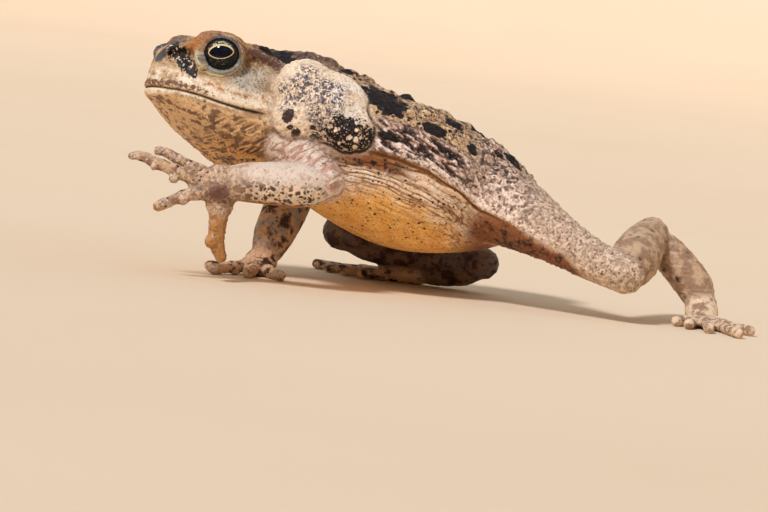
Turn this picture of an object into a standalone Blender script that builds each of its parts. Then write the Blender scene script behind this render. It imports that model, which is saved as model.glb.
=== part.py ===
"""A life-size cane toad in mid step, as a still museum model.

The toad walks towards -X with its left side to -Y. Its left hand is lifted, and it stands on its
right hand and both hind feet. Every size below is in millimetres; the meshes are in metres.
"""

import math

import bmesh
import bpy
import numpy as np
from mathutils import Euler, Matrix, Vector

MM = 0.001
GAP = 0.3  # kept between pieces that meet
SIDES = 20  # points round a limb
RING = 40  # points round the body

# Build of the animal, from which the tables below take their scale
SNOUT_TO_VENT = 130.0
MODELLED_LENGTH = 130.0
SCALE = SNOUT_TO_VENT / MODELLED_LENGTH

# Stance: where the head and the trunk sit, and how each is turned, in degrees
SNOUT_TIP = (-96.6, -19.0, 58.6)
HEAD_YAW, HEAD_PITCH, HEAD_ROLL = 29.0, 9.5, 8.5
NECK = (-55.0, -3.0, 56.0)
TRUNK_YAW, TRUNK_PITCH, TRUNK_ROLL = 6.5, 15.8, 8.0

# Skin colours of the pieces, as red, green, blue
SKIN_TAN = (0.52, 0.42, 0.31)
SKIN_BACK = (0.36, 0.28, 0.20)
GLAND_TAN = (0.50, 0.41, 0.32)
THROAT_OCHRE = (0.55, 0.40, 0.20)
LIMB_GREY = (0.47, 0.39, 0.31)
EYE_DARK = (0.02, 0.025, 0.04)


def placed(position, yaw, pitch, roll):
    """A frame with x to the rear, y to the toad's right and z up, turned as the toad holds itself."""
    turn = Euler((math.radians(-roll), math.radians(pitch), math.radians(yaw)), "XYZ").to_matrix()
    return Matrix.Translation(Vector(position)) @ turn.to_4x4()


HEAD = placed(SNOUT_TIP, HEAD_YAW, HEAD_PITCH, HEAD_ROLL)
TRUNK = placed(NECK, TRUNK_YAW, TRUNK_PITCH, TRUNK_ROLL)


# Shapes


def eased(rows, steps):
    """The rows of a table with a smooth curve run through each of its columns."""
    table = np.array(rows, float)
    padded = np.vstack([2 * table[0] - table[1], table, 2 * table[-1] - table[-2]])
    made = []
    for i in range(1, len(padded) - 2):
        before, start, end, after = padded[i - 1 : i + 3]
        for t in np.linspace(0, 1, steps, endpoint=False):
            made.append(
                0.5 * (2 * start + (end - before) * t
                       + (2 * before - 5 * start + 4 * end - after) * t * t
                       + (3 * start - before - 3 * end + after) * t ** 3)
            )
    made.append(table[-1])
    return np.array(made)


def loft(rings):
    """A closed shell through rings of points, with a flat face at each end."""
    shell = bmesh.new()
    loops = [[shell.verts.new(point) for point in ring] for ring in rings]
    count = len(loops[0])
    for first, second in zip(loops, loops[1:]):
        for i in range(count):
            j = (i + 1) % count
            shell.faces.new((first[i], first[j], second[j], second[i]))
    shell.faces.new(loops[0][::-1])
    shell.faces.new(loops[-1])
    bmesh.ops.recalc_face_normals(shell, faces=shell.faces)
    return shell


def body_ring(frame, x, width, up, down, up_taper, squareness):
    """A cross-section of head or trunk: rounded, flatter on top, narrowing towards the crown."""
    points = []
    for i in range(RING):
        angle = 2 * math.pi * i / RING
        across, rise = math.cos(angle), math.sin(angle)
        power = 2 / squareness
        y = width * math.copysign(abs(across) ** power, across)
        lift = math.copysign(abs(rise) ** power, rise)
        if lift > 0:
            y *= 1 - up_taper * lift ** 1.6
        z = lift * (up if lift > 0 else down)
        points.append(frame @ Vector((x, y, z)))
    return points


def limb(rows, flatness=1.0, flat_way=(0, 0, 1), steps=5):
    """A round-ended limb along points x, y, z, radius. Below 1, flatness thins it along flat_way."""
    path = eased(rows, steps)
    centres = [Vector(row[:3]) for row in path]
    thin = Vector(flat_way).normalized()
    rings = []
    last = len(path) - 1
    for i, centre in enumerate(centres):
        ahead = (centres[min(i + 1, last)] - centres[max(i - 1, 0)]).normalized()
        side = ahead.orthogonal().normalized() if not rings else (side - ahead * side.dot(ahead)).normalized()
        over = ahead.cross(side)
        radius = path[i][3]
        caps = [(0.0, 1.0)]
        if i == 0:
            caps = [(-0.97, 0.25), (-0.8, 0.6), (-0.45, 0.89), (0.0, 1.0)]
        elif i == last:
            caps = [(0.0, 1.0), (0.45, 0.89), (0.8, 0.6), (0.97, 0.25)]
        for along, share in caps:
            ring = []
            for k in range(SIDES):
                angle = 2 * math.pi * k / SIDES
                out = (side * math.cos(angle) + over * math.sin(angle)) * radius * share
                out -= thin * out.dot(thin) * (1 - flatness)
                ring.append(centre + ahead * (along * radius) + out)
            rings.append(ring)
    return loft(rings)


def ball(centre, radii, turn=None, detail=3):
    """An ellipsoid of three radii, turned by a rotation matrix if one is given."""
    shell = bmesh.new()
    bmesh.ops.create_icosphere(shell, subdivisions=detail, radius=1.0)
    matrix = Matrix.Translation(Vector(centre))
    if turn is not None:
        matrix = matrix @ turn.to_4x4()
    matrix = matrix @ Matrix.Diagonal((*radii, 1.0))
    bmesh.ops.transform(shell, matrix=matrix, verts=shell.verts)
    return shell


def prism(outline, half_depth, frame):
    """A block whose outline is a list of x, z points in a frame, reaching half_depth to each side."""
    rings = [[frame @ Vector((x, side * half_depth, z)) for x, z in outline] for side in (-1, 1)]
    return loft(rings)


# Objects


def object_from(name, shells):
    """One mesh object holding these shells, in metres."""
    joined = bmesh.new()
    for shell in shells:
        mesh = bpy.data.meshes.new("shell")
        shell.to_mesh(mesh)
        shell.free()
        joined.from_mesh(mesh)
        bpy.data.meshes.remove(mesh)
    bmesh.ops.scale(joined, vec=(MM * SCALE,) * 3, verts=joined.verts)
    mesh = bpy.data.meshes.new(name)
    joined.to_mesh(mesh)
    joined.free()
    made = bpy.data.objects.new(name, mesh)
    bpy.context.scene.collection.objects.link(made)
    return made


def apply_modifiers(item):
    """Turns what the modifiers make into the object's own mesh."""
    graph = bpy.context.evaluated_depsgraph_get()
    made = bpy.data.meshes.new_from_object(item.evaluated_get(graph))
    old = item.data
    item.modifiers.clear()
    item.data = made
    bpy.data.meshes.remove(old)


def fuse(name, shells, voxel, smoothing, triangles):
    """The overlapping shells grown into one flesh, smoothed where they join, with few faces."""
    item = object_from(name, shells)
    remesh = item.modifiers.new("grow together", "REMESH")
    remesh.mode = "VOXEL"
    remesh.voxel_size = voxel * MM
    smooth = item.modifiers.new("smooth", "SMOOTH")
    smooth.factor = 0.5
    smooth.iterations = smoothing
    apply_modifiers(item)
    triangulate = item.modifiers.new("triangles", "TRIANGULATE")
    triangulate.keep_custom_normals = False
    apply_modifiers(item)
    thin = item.modifiers.new("fewer faces", "DECIMATE")
    thin.ratio = min(1.0, triangles / len(item.data.polygons))
    apply_modifiers(item)
    return item


def largest_shell(item):
    """Keeps the largest closed surface of the object, which drops scraps and sealed hollows."""
    work = bmesh.new()
    work.from_mesh(item.data)
    left = set(work.verts)
    groups = []
    while left:
        group, edge_of = set(), [left.pop()]
        while edge_of:
            vert = edge_of.pop()
            group.add(vert)
            for edge in vert.link_edges:
                other = edge.other_vert(vert)
                if other in left:
                    left.discard(other)
                    edge_of.append(other)
        groups.append(group)
    groups.sort(key=len, reverse=True)
    for group in groups[1:]:
        bmesh.ops.delete(work, geom=list(group), context="VERTS")
    work.to_mesh(item.data)
    work.free()


def trim(item, tool, operation="DIFFERENCE", solver="EXACT"):
    """Cuts item by the tool object, or keeps what they share."""
    cut = item.modifiers.new("trim", "BOOLEAN")
    cut.operation = operation
    cut.object = tool
    cut.solver = solver
    apply_modifiers(item)
    largest_shell(item)


def discard(item):
    mesh = item.data
    bpy.data.objects.remove(item)
    bpy.data.meshes.remove(mesh)


def grown(item, amount):
    """A copy of the object whose surface stands out by amount, for cutting a gap to it."""
    copy = bpy.data.objects.new("grown", item.data.copy())
    bpy.context.scene.collection.objects.link(copy)
    normals = [vert.normal.copy() for vert in copy.data.vertices]
    for vert, normal in zip(copy.data.vertices, normals):
        vert.co += normal * amount * MM
    return copy


def clear_of(item, *others):
    """Cuts item back so that it meets each of the others face to face, with the gap between.

    A grown copy can cross itself in a tight fold, and the exact solver then loses the whole item.
    """
    for other in others:
        tool = grown(other, GAP * 1.1)
        trim(item, tool, solver="MANIFOLD")
        discard(tool)


def duplicate(item, name):
    copy = bpy.data.objects.new(name, item.data.copy())
    bpy.context.scene.collection.objects.link(copy)
    return copy


def painted(item, colour, roughness):
    """Gives the object its own material."""
    skin = bpy.data.materials.new(item.name)
    skin.use_nodes = True
    shader = skin.node_tree.nodes["Principled BSDF"]
    shader.inputs["Base Color"].default_value = (*colour, 1.0)
    shader.inputs["Roughness"].default_value = roughness
    shader.inputs["Metallic"].default_value = 0.0
    item.data.materials.clear()
    item.data.materials.append(skin)
    item.data.shade_smooth()
    item.data.set_sharp_from_angle(angle=math.radians(40))


for startup in list(bpy.data.objects):
    bpy.data.objects.remove(startup)


# Head and trunk, modelled whole

# x from the snout tip, half width at the lips, height to the crown, depth to the throat, and how
# much the crown narrows
HEAD_SECTIONS = [
    (-1.0, 2.4, 8.0, 1.0, 0.30),
    (0.0, 4.6, 11.8, 1.6, 0.30),
    (2.2, 7.0, 14.6, 2.6, 0.34),
    (6.4, 11.2, 17.0, 5.2, 0.40),
    (11.3, 14.9, 17.8, 8.4, 0.42),
    (17.0, 18.0, 18.4, 11.6, 0.40),
    (24.0, 20.6, 19.4, 14.4, 0.36),
    (31.0, 22.4, 20.6, 17.6, 0.30),
    (38.0, 23.8, 22.0, 20.4, 0.24),
]
# x from the neck, half width, height to the back, depth to the belly, narrowing of the back
TRUNK_SECTIONS = [
    (4.0, 26.0, 20.6, 22.0, 0.14),
    (14.0, 28.0, 19.2, 25.0, 0.10),
    (25.0, 29.2, 18.4, 27.6, 0.08),
    (36.0, 29.8, 17.2, 29.4, 0.08),
    (47.0, 29.6, 18.0, 29.8, 0.10),
    (57.0, 28.4, 16.8, 28.2, 0.14),
    (66.0, 25.6, 15.2, 25.2, 0.18),
    (75.0, 21.0, 13.4, 21.2, 0.20),
    (83.0, 14.5, 10.2, 16.2, 0.20),
    (89.0, 8.0, 6.2, 10.4, 0.15),
    (91.5, 3.0, 2.6, 4.8, 0.10),
]
NECK_X = 37.5  # on the head, where it meets the trunk


def body_shell():
    """The flesh from snout to vent as one loft."""
    rings = []
    for x, width, up, down, taper in eased(HEAD_SECTIONS, 3):
        rings.append(body_ring(HEAD, x, width, up, down, taper, 2.25))
    for x, width, up, down, taper in eased(TRUNK_SECTIONS, 3):
        rings.append(body_ring(TRUNK, x, width, up, down, taper, 2.15))
    return loft(rings)


# Eyes: the ball, the opening between the lids, and the way the eye looks
EYE_X, EYE_Y, EYE_Z = 16.5, 13.0, 14.0
EYE_RADIUS = 6.3
LID_THICKNESS = 1.0
OPENING_LONG, OPENING_HIGH = 5.6, 5.0


def mirrored(point, side):
    return Vector((point[0], point[1] * side, point[2]))


def eye_centre(side):
    return HEAD @ Vector((EYE_X, EYE_Y * side, EYE_Z))


def gaze(side):
    return (HEAD.to_3x3() @ Vector((-0.46, 0.88 * side, 0.0))).normalized()


def facing(direction, frame):
    """A rotation whose z axis points along direction, with x kept near the frame's rear."""
    z = direction.normalized()
    x = frame.to_3x3() @ Vector((1, 0, 0))
    x = (x - z * x.dot(z)).normalized()
    return Matrix((x, z.cross(x), z)).transposed()


def on_head(rows, side):
    """Rows of x, y, z, radius in the head's frame, taken to one side and to the world."""
    return [(*(HEAD @ mirrored(row, side)), row[3]) for row in rows]


# Bony ridges and lips, as x, y, z, radius in the head's frame
SNOUT_RIDGE = [(1.2, 3.0, 12.0, 1.4), (4.2, 5.4, 14.4, 1.7), (8.6, 8.0, 16.0, 1.8)]
BROW_RIDGE = [(8.0, 8.6, 15.8, 1.8), (11.5, 10.6, 18.2, 2.1), (16.5, 11.6, 19.8, 2.2), (21.0, 11.6, 19.6, 2.1),
              (24.5, 11.0, 18.4, 1.9)]
CROWN_RIDGE = [(23.0, 9.6, 18.4, 2.0), (28.0, 8.8, 19.0, 2.1), (34.0, 8.4, 19.6, 2.0)]
REAR_RIDGE = [(23.6, 12.2, 17.2, 2.0), (30.0, 14.4, 16.6, 2.2), (36.4, 18.0, 13.6, 2.4)]
CHEEK_RIDGE = [(9.4, 9.8, 14.4, 1.6), (8.8, 12.2, 11.0, 1.5), (9.6, 13.2, 7.4, 1.0)]
UPPER_LIP = [(-0.6, 0.0, 1.8, 1.4), (0.6, 3.0, 2.0, 1.4), (2.6, 5.6, 2.1, 1.4), (6.4, 9.8, 1.8, 1.4),
             (11.3, 13.6, 1.0, 1.4), (17.0, 17.0, 0.1, 1.4), (23.3, 19.4, -0.6, 1.5), (30.5, 21.6, -0.9, 1.8)]
LOWER_LIP = [(-0.2, 0.0, -1.4, 1.3), (1.0, 2.8, -1.5, 1.3), (3.0, 5.4, -1.5, 1.3), (6.8, 9.4, -1.9, 1.3),
             (11.7, 13.0, -2.7, 1.3), (17.4, 16.4, -3.8, 1.3), (23.4, 18.8, -4.8, 1.4), (30.5, 21.0, -5.2, 1.5)]
JAW_LUMP, JAW_LUMP_RADIUS = (33.0, 20.6, -5.2), 3.4
NOSTRIL = (2.4, 5.0, 11.8)
HEAD_RIDGES = (SNOUT_RIDGE, BROW_RIDGE, CROWN_RIDGE, REAR_RIDGE, CHEEK_RIDGE, UPPER_LIP, LOWER_LIP)


def head_details():
    """Ridges, lids, lips and brows to fuse with the body shell."""
    shells = []
    for side in (-1, 1):
        for ridge in HEAD_RIDGES:
            shells.append(limb(on_head(ridge, side)))
        turn = facing(gaze(side), HEAD)
        lid = EYE_RADIUS + LID_THICKNESS
        shells.append(ball(eye_centre(side), (lid * 1.06, lid, lid), turn))
        brow = HEAD @ Vector((EYE_X + 0.4, (EYE_Y - 3.0) * side, EYE_Z + 4.6))
        shells.append(ball(brow, (8.4, 5.2, 3.4), HEAD.to_3x3()))
        shells.append(ball(HEAD @ mirrored(JAW_LUMP, side), (JAW_LUMP_RADIUS,) * 3))
    return shells


# The fold of skin from the gland to the groin, as x, y, z, radius in the trunk's frame
FLANK_FOLD = [(29.0, 27.0, -4.6, 2.6), (39.0, 28.2, -4.0, 2.8), (49.0, 28.0, -3.6, 3.0), (59.0, 26.2, -6.4, 2.9),
              (67.0, 22.6, -9.4, 2.3)]


def folds():
    """The long fold of each flank."""
    shells = []
    for side in (-1, 1):
        rows = [(*(TRUNK @ mirrored(row, side)), row[3]) for row in FLANK_FOLD]
        shells.append(limb(rows))
    return shells


# Warts of the back and sides: x from the neck, share of the way round from the mid back to the
# flank, radius. The left and right sides differ a little, as they do on the animal.
WART_ROWS = [(9.0, 0.14, 2.3), (18.0, 0.26, 2.2), (25.0, 0.08, 2.4), (31.0, 0.36, 2.8), (38.0, 0.14, 2.6),
             (44.0, 0.42, 2.6), (49.0, 0.22, 3.0), (56.0, 0.44, 2.5), (60.0, 0.14, 2.6), (66.0, 0.34, 2.6),
             (72.0, 0.14, 2.6), (76.0, 0.40, 2.2), (38.0, 0.60, 2.2), (52.0, 0.64, 2.0), (66.0, 0.60, 2.0)]
WART_FLATNESS = 0.55


def trunk_surface(x, share, side):
    """Point and outward direction on the trunk; share runs from 0 at mid back to 1 at the flank."""
    table = np.array(TRUNK_SECTIONS)
    width, up, _, taper = (np.interp(x, table[:, 0], table[:, column]) for column in (1, 2, 3, 4))
    angle = math.pi / 2 * (1 - share)
    rise = math.sin(angle) ** (2 / 2.15)
    across = math.cos(angle) ** (2 / 2.15) * (1 - taper * rise ** 1.6)
    point = Vector((x, side * width * across, up * rise))
    outward = Vector((0, side * across / width, rise / up)).normalized()
    return TRUNK @ point, TRUNK.to_3x3() @ outward


def warts():
    """Low domes along both sides of the back."""
    drawn = np.random.default_rng(7)
    shells = []
    for side in (-1, 1):
        for x, share, radius in WART_ROWS:
            x += drawn.uniform(-2.0, 2.0)
            share += drawn.uniform(-0.03, 0.03)
            size = radius * drawn.uniform(0.85, 1.15)
            point, outward = trunk_surface(x, share, side)
            turn = facing(outward, TRUNK)
            shells.append(ball(point, (size * 1.2, size, size * WART_FLATNESS), turn, detail=2))
    return shells


body = fuse("torso", [body_shell(), *head_details(), *folds(), *warts()], voxel=0.6, smoothing=5, triangles=4300)

# Eyes are cut out of the head with the lids left standing round them
eyes = {}
for label, side in (("left", -1), ("right", 1)):
    centre, turn = eye_centre(side), facing(gaze(side), HEAD)
    eyes[label] = object_from("eye_" + label, [ball(centre, (EYE_RADIUS,) * 3, turn, detail=3)])
    opening = [(*(centre + gaze(side) * reach), OPENING_LONG) for reach in (3.0, 6.0, 9.0, 14.0)]
    window = object_from("window", [limb(opening, flatness=OPENING_HIGH / OPENING_LONG,
                                         flat_way=HEAD.to_3x3() @ Vector((0, 0, 1)))])
    trim(body, window)
    discard(window)
    clear_of(body, eyes[label])
    pit = object_from("pit", [ball(HEAD @ mirrored(NOSTRIL, side), (0.8, 1.3, 0.9), HEAD.to_3x3(), detail=2)])
    trim(body, pit)
    discard(pit)

# Ears: a flat round eardrum let into the cheek on each side
EAR = (30.0, 20.6, 9.4)
EAR_RADIUS, EAR_BULGE = 4.1, 1.3
ears = {}
for label, side in (("left", -1), ("right", 1)):
    out = (HEAD.to_3x3() @ Vector((0.05, 0.95 * side, 0.30))).normalized()
    drum = ball(HEAD @ mirrored(EAR, side), (EAR_RADIUS, EAR_RADIUS * 1.08, EAR_BULGE), facing(out, HEAD), detail=2)
    ears[label] = object_from("eardrum_" + label, [drum])
    clear_of(body, ears[label])

# Parotoid glands behind the head, as balls x, y, z, and their radii in the trunk's frame
GLAND_BALLS = [((3.5, 20.0, 6.0), (10.0, 9.2, 10.0)), ((13.0, 22.0, 2.4), (14.0, 9.4, 12.6)),
               ((21.5, 23.6, -1.8), (10.6, 8.2, 8.6)), ((5.5, 21.0, -3.4), (9.6, 8.6, 9.0))]
glands = {}
for label, side in (("left", -1), ("right", 1)):
    shells = [ball(TRUNK @ mirrored(at, side), radii, TRUNK.to_3x3()) for at, radii in GLAND_BALLS]
    glands[label] = fuse("parotoid_" + label, shells, voxel=0.8, smoothing=24, triangles=300)
    clear_of(body, glands[label])

# The body is parted at the neck and along the mouth
MOUTH_LINE = [(-8.0, 0.2), (0.0, 0.1), (4.8, 0.0), (10.3, -0.8), (16.6, -2.0), (23.1, -2.7), (30.5, -2.8),
              (38.0, -2.2), (46.0, -1.6)]
REACH = 80.0


def neck_block(offset):
    """Everything in front of the neck plane."""
    edge = NECK_X + offset
    return object_from("block", [prism([(-20, -REACH), (edge, -REACH), (edge, REACH), (-20, REACH)], REACH, HEAD)])


def jaw_block(offset):
    """Everything below the line of the mouth."""
    line = [(x, z + offset) for x, z in eased(MOUTH_LINE, 4)]
    return object_from("block", [prism([(line[-1][0], -REACH), *line[::-1], (line[0][0], -REACH)], REACH, HEAD)])


head = duplicate(body, "head")
jaw = duplicate(body, "lower_jaw")
for item, make, offset, operation in (
    (body, neck_block, GAP / 2, "DIFFERENCE"), (head, neck_block, -GAP / 2, "INTERSECT"),
    (jaw, neck_block, -GAP / 2, "INTERSECT"), (head, jaw_block, GAP / 2, "DIFFERENCE"),
    (jaw, jaw_block, -GAP / 2, "INTERSECT"),
):
    tool = make(offset)
    trim(item, tool, operation)
    discard(tool)

# Arms and legs, as x, y, z, radius along each length in the world
UPPER_ARM_LEFT = [(-54.0, -14.0, 47.0, 8.5), (-48.0, -22.0, 43.5, 7.6), (-42.0, -30.0, 38.5, 7.0), (-37.6, -36.0, 35.0, 7.0)]
FOREARM_LEFT = [(-37.8, -37.2, 34.4, 6.0), (-45.0, -38.0, 33.4, 7.2), (-55.0, -37.6, 33.0, 7.0), (-64.0, -36.6, 32.4, 6.3)]
UPPER_ARM_RIGHT = [(-52.0, 8.0, 44.0, 9.0), (-50.5, 16.0, 41.0, 8.2), (-48.6, 22.0, 37.0, 7.6), (-47.2, 25.0, 33.5, 7.4)]
FOREARM_RIGHT = [(-47.2, 25.0, 33.0, 6.2), (-49.6, 21.0, 24.0, 7.5), (-53.0, 15.0, 14.0, 6.9), (-54.4, 12.4, 9.4, 5.8)]
THIGH_LEFT = [(16.0, -9.0, 33.6, 13.6), (27.0, -15.5, 29.4, 11.2), (39.0, -22.5, 23.8, 8.2), (51.0, -29.0, 18.6, 6.6),
              (61.0, -33.5, 15.4, 6.2)]
SHANK_LEFT = [(61.5, -33.5, 15.8, 5.0), (63.5, -25.0, 19.0, 8.0), (66.0, -14.0, 23.0, 7.6), (70.0, 1.0, 27.6, 5.6)]
TARSUS_LEFT = [(70.5, 1.0, 27.0, 4.4), (77.0, -1.5, 20.8, 6.0), (84.4, -4.0, 13.4, 6.2), (86.6, -5.2, 10.0, 5.8)]
THIGH_RIGHT = [(13.0, 12.0, 30.0, 12.5), (2.0, 21.0, 26.5, 11.0), (-12.0, 31.0, 21.0, 9.2), (-24.0, 38.5, 17.0, 7.6),
               (-31.0, 42.5, 15.0, 6.8)]
SHANK_RIGHT = [(-31.0, 42.6, 14.6, 5.4), (-20.0, 41.0, 13.4, 7.8), (-5.0, 36.5, 12.6, 7.4), (9.0, 32.0, 11.0, 6.0),
               (17.0, 29.5, 10.0, 5.4)]
TARSUS_RIGHT = [(16.6, 29.7, 9.0, 4.4), (10.0, 33.5, 6.6, 5.2), (0.0, 38.0, 5.0, 4.8)]

LIMB_VOXEL, LIMB_SMOOTHING = 0.7, 4


def segment(name, rows, triangles):
    return fuse(name, [limb(rows)], LIMB_VOXEL, LIMB_SMOOTHING, triangles)


# A digit is a tube with knuckle pads under its joints and a round tip


def digit(points, base_radius, tip_radius):
    """Rows for a finger or toe that narrows to its last joint and swells at the tip."""
    rows = []
    last = len(points) - 1
    for i, point in enumerate(points):
        share = i / last
        radius = base_radius * (1 - 0.38 * share)
        rows.append((*point, radius))
    rows[-1] = (*points[-1], tip_radius)
    return rows


# The lifted left hand shows its palm: points in the world
HAND_LEFT_DIGITS = {
    "first": ([(-70.0, -37.0, 26.0), (-70.0, -38.0, 18.5), (-69.8, -38.5, 12.4), (-67.9, -38.0, 8.0)], 3.4, 2.0),
    "second": ([(-75.0, -38.0, 28.0), (-81.0, -39.5, 26.6), (-86.0, -40.0, 24.0), (-89.4, -40.0, 22.2)], 2.4, 1.9),
    "third": ([(-75.0, -36.0, 30.5), (-83.0, -37.0, 33.2), (-91.0, -37.0, 35.6), (-96.5, -36.5, 37.4), (-100.0, -36.5, 37.0)], 2.4, 1.2),
    "fourth": ([(-76.0, -32.0, 34.0), (-83.0, -31.0, 36.2), (-89.0, -30.0, 39.0), (-92.0, -30.0, 39.2)], 2.2, 1.5),
}
# Knuckle pads of the lifted hand: point and radius
HAND_LEFT_PADS = [((-71.5, -40.0, 13.0), 2.4), ((-81.5, -41.0, 25.0), 1.9), ((-85.5, -38.6, 31.4), 1.8),
                  ((-92.0, -38.4, 34.6), 1.5), ((-70.6, -39.6, 18.0), 2.2)]


def left_hand():
    shells = [limb([(-65.0, -36.6, 32.2, 5.2), (-71.0, -36.2, 31.0, 6.6), (-76.0, -36.0, 30.4, 5.0)],
                   flatness=0.62, flat_way=(0, 1, 0))]
    shells.append(ball((-70.5, -39.4, 28.6), (5.0, 2.4, 4.0)))
    shells.append(ball((-70.0, -37.4, 24.6), (4.6, 3.2, 4.4)))
    for points, base, tip in HAND_LEFT_DIGITS.values():
        shells.append(limb(digit(points, base, tip)))
    for point, radius in HAND_LEFT_PADS:
        shells.append(ball(point, (radius,) * 3, detail=2))
    return shells


def spread_digits(root, heading, fan, lengths, radius, drop):
    """Digits that fan out over the floor: their points, from a root and a compass heading in degrees."""
    digits = []
    for turn, length in zip(fan, lengths):
        angle = math.radians(heading + turn)
        way = Vector((math.cos(angle), math.sin(angle), 0))
        start = Vector(root) + way * 3.0
        points = []
        for share in (0.0, 0.35, 0.7, 1.0):
            point = start + way * (length * share)
            point.z = radius * 0.86 + (start.z - radius) * (1 - share) ** drop
            points.append(tuple(point))
        digits.append(digit(points, radius, radius * 0.92))
    return digits


def web(first, second, reach, thickness):
    """A thin sheet of skin between two neighbouring digits, as far out as reach."""
    a = [Vector(row[:3]) for row in eased(first, 3)]
    b = [Vector(row[:3]) for row in eased(second, 3)]
    steps = max(2, int(len(a) * reach))
    upper, lower = [], []
    for i in range(steps):
        share = i / (steps - 1)
        middle = (a[i] + b[i]) / 2 - (a[steps - 1] - a[0]) * 0.22 * share
        row = [a[i], middle, b[i]]
        upper.append([point + Vector((0, 0, thickness / 2)) for point in row])
        lower.append([point - Vector((0, 0, thickness / 2)) for point in row])
    rings = [[*top, *bottom[::-1]] for top, bottom in zip(upper, lower)]
    return loft(rings)


HAND_RIGHT_ROOT, HAND_RIGHT_HEADING = (-57.0, 6.0, 3.6), 236.0
HAND_FAN, HAND_LENGTHS = (62.0, 24.0, -8.0, -44.0), (14.0, 13.0, 18.0, 13.0)
HAND_RADIUS = 2.1


def right_hand():
    shells = [limb([(-55.0, 11.0, 7.6, 4.6), (-56.6, 7.2, 4.4, 5.6), (-57.8, 4.0, 3.0, 4.6)],
                   flatness=0.72, flat_way=(0, 0, 1))]
    shells.append(ball((-56.5, 6.0, 2.2), (5.0, 4.4, 2.4)))
    for rows in spread_digits(HAND_RIGHT_ROOT, HAND_RIGHT_HEADING, HAND_FAN, HAND_LENGTHS, HAND_RADIUS, 1.6):
        shells.append(limb(rows))
        x, y, z, radius = eased(rows, 4)[5]
        shells.append(ball((x, y, 1.3), (radius * 0.95, radius * 0.95, 1.5), detail=2))
    return shells


TOE_LENGTHS = (12.0, 17.0, 24.0, 33.0, 22.0)
TOE_FAN = (-46.0, -25.0, -8.0, 6.0, 26.0)
TOE_RADIUS = 2.0
WEB_REACH, WEB_THICKNESS = 0.62, 1.1


def foot(ankle_rows, root, heading, handed):
    """Sole, toes, webs and the heel tubercle. handed is 1 where the toes run clockwise from the first."""
    shells = [limb(ankle_rows, flatness=0.8, flat_way=(0, 0, 1))]
    toes = spread_digits(root, heading, [turn * handed for turn in TOE_FAN], TOE_LENGTHS, TOE_RADIUS, 1.5)
    for rows in toes:
        shells.append(limb(rows))
        for at in (4, 8):
            x, y, z, radius = eased(rows, 4)[at]
            shells.append(ball((x, y, 1.2), (radius * 0.9, radius * 0.9, 1.4), detail=2))
    for first, second in zip(toes, toes[1:]):
        shells.append(web(first, second, WEB_REACH, WEB_THICKNESS))
    return shells


upper_arms = {"left": segment("upper_arm_left", UPPER_ARM_LEFT, 180), "right": segment("upper_arm_right", UPPER_ARM_RIGHT, 180)}
forearms = {"left": segment("forearm_left", FOREARM_LEFT, 220), "right": segment("forearm_right", FOREARM_RIGHT, 220)}
thighs = {"left": segment("thigh_left", THIGH_LEFT, 280), "right": segment("thigh_right", THIGH_RIGHT, 280)}
shanks = {"left": segment("shank_left", SHANK_LEFT, 220), "right": segment("shank_right", SHANK_RIGHT, 240)}
tarsi = {"left": segment("tarsus_left", TARSUS_LEFT, 180), "right": segment("tarsus_right", TARSUS_RIGHT, 180)}
HAND_VOXEL, HAND_SMOOTHING, HAND_TRIANGLES = 0.45, 3, 620
hands = {
    "left": fuse("hand_left", left_hand(), HAND_VOXEL, HAND_SMOOTHING, HAND_TRIANGLES),
    "right": fuse("hand_right", right_hand(), HAND_VOXEL, HAND_SMOOTHING, HAND_TRIANGLES),
}
FOOT_TRIANGLES = 720
feet = {
    "left": fuse("foot_left", foot([(87.4, -5.8, 9.4, 4.8), (88.2, -9.0, 4.6, 5.6), (88.4, -13.0, 2.8, 4.8)],
                                   (88.2, -11.0, 3.0), -80.0, 1), HAND_VOXEL, HAND_SMOOTHING, FOOT_TRIANGLES),
    "right": fuse("foot_right", foot([(-0.2, 38.2, 4.8, 4.0), (-6.0, 41.0, 3.4, 5.2), (-11.0, 43.6, 2.6, 4.6)],
                                     (-9.0, 42.6, 3.0), 152.0, -1), HAND_VOXEL, HAND_SMOOTHING, FOOT_TRIANGLES),
}

for label in ("left", "right"):
    clear_of(upper_arms[label], body, jaw, head, glands[label])
    clear_of(forearms[label], upper_arms[label], body)
    clear_of(hands[label], forearms[label])
    clear_of(thighs[label], body)
    clear_of(shanks[label], thighs[label], body)
    clear_of(tarsi[label], shanks[label], thighs[label])
    clear_of(feet[label], tarsi[label], shanks[label])

# What stands on the floor is flattened at one level
floor = object_from("floor", [prism([(-300, -40), (300, -40), (300, 0), (-300, 0)], 200, Matrix.Identity(4))])
for item in (hands["right"], feet["left"], feet["right"], tarsi["right"]):
    trim(item, floor)
discard(floor)

for item in (body, thighs["left"], thighs["right"]):
    painted(item, SKIN_BACK, 0.55)
painted(head, SKIN_TAN, 0.5)
painted(jaw, THROAT_OCHRE, 0.5)
for item in (*ears.values(), *glands.values()):
    painted(item, GLAND_TAN, 0.5)
for group in (upper_arms, forearms, hands, shanks, tarsi, feet):
    for item in group.values():
        painted(item, LIMB_GREY, 0.55)
for item in eyes.values():
    painted(item, EYE_DARK, 0.08)

# The origin goes to the middle of the model's footprint, on the floor
corners = np.array([item.matrix_world @ vert.co for item in bpy.data.objects for vert in item.data.vertices])
low, high = corners.min(axis=0), corners.max(axis=0)
shift = Matrix.Translation((-(low[0] + high[0]) / 2, -(low[1] + high[1]) / 2, -low[2]))
for item in bpy.data.objects:
    item.data.transform(shift)
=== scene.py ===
import itertools
import math

import bmesh
import bpy
import numpy as np
from mathutils import Euler, Matrix, Vector
from mathutils.bvhtree import BVHTree


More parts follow.
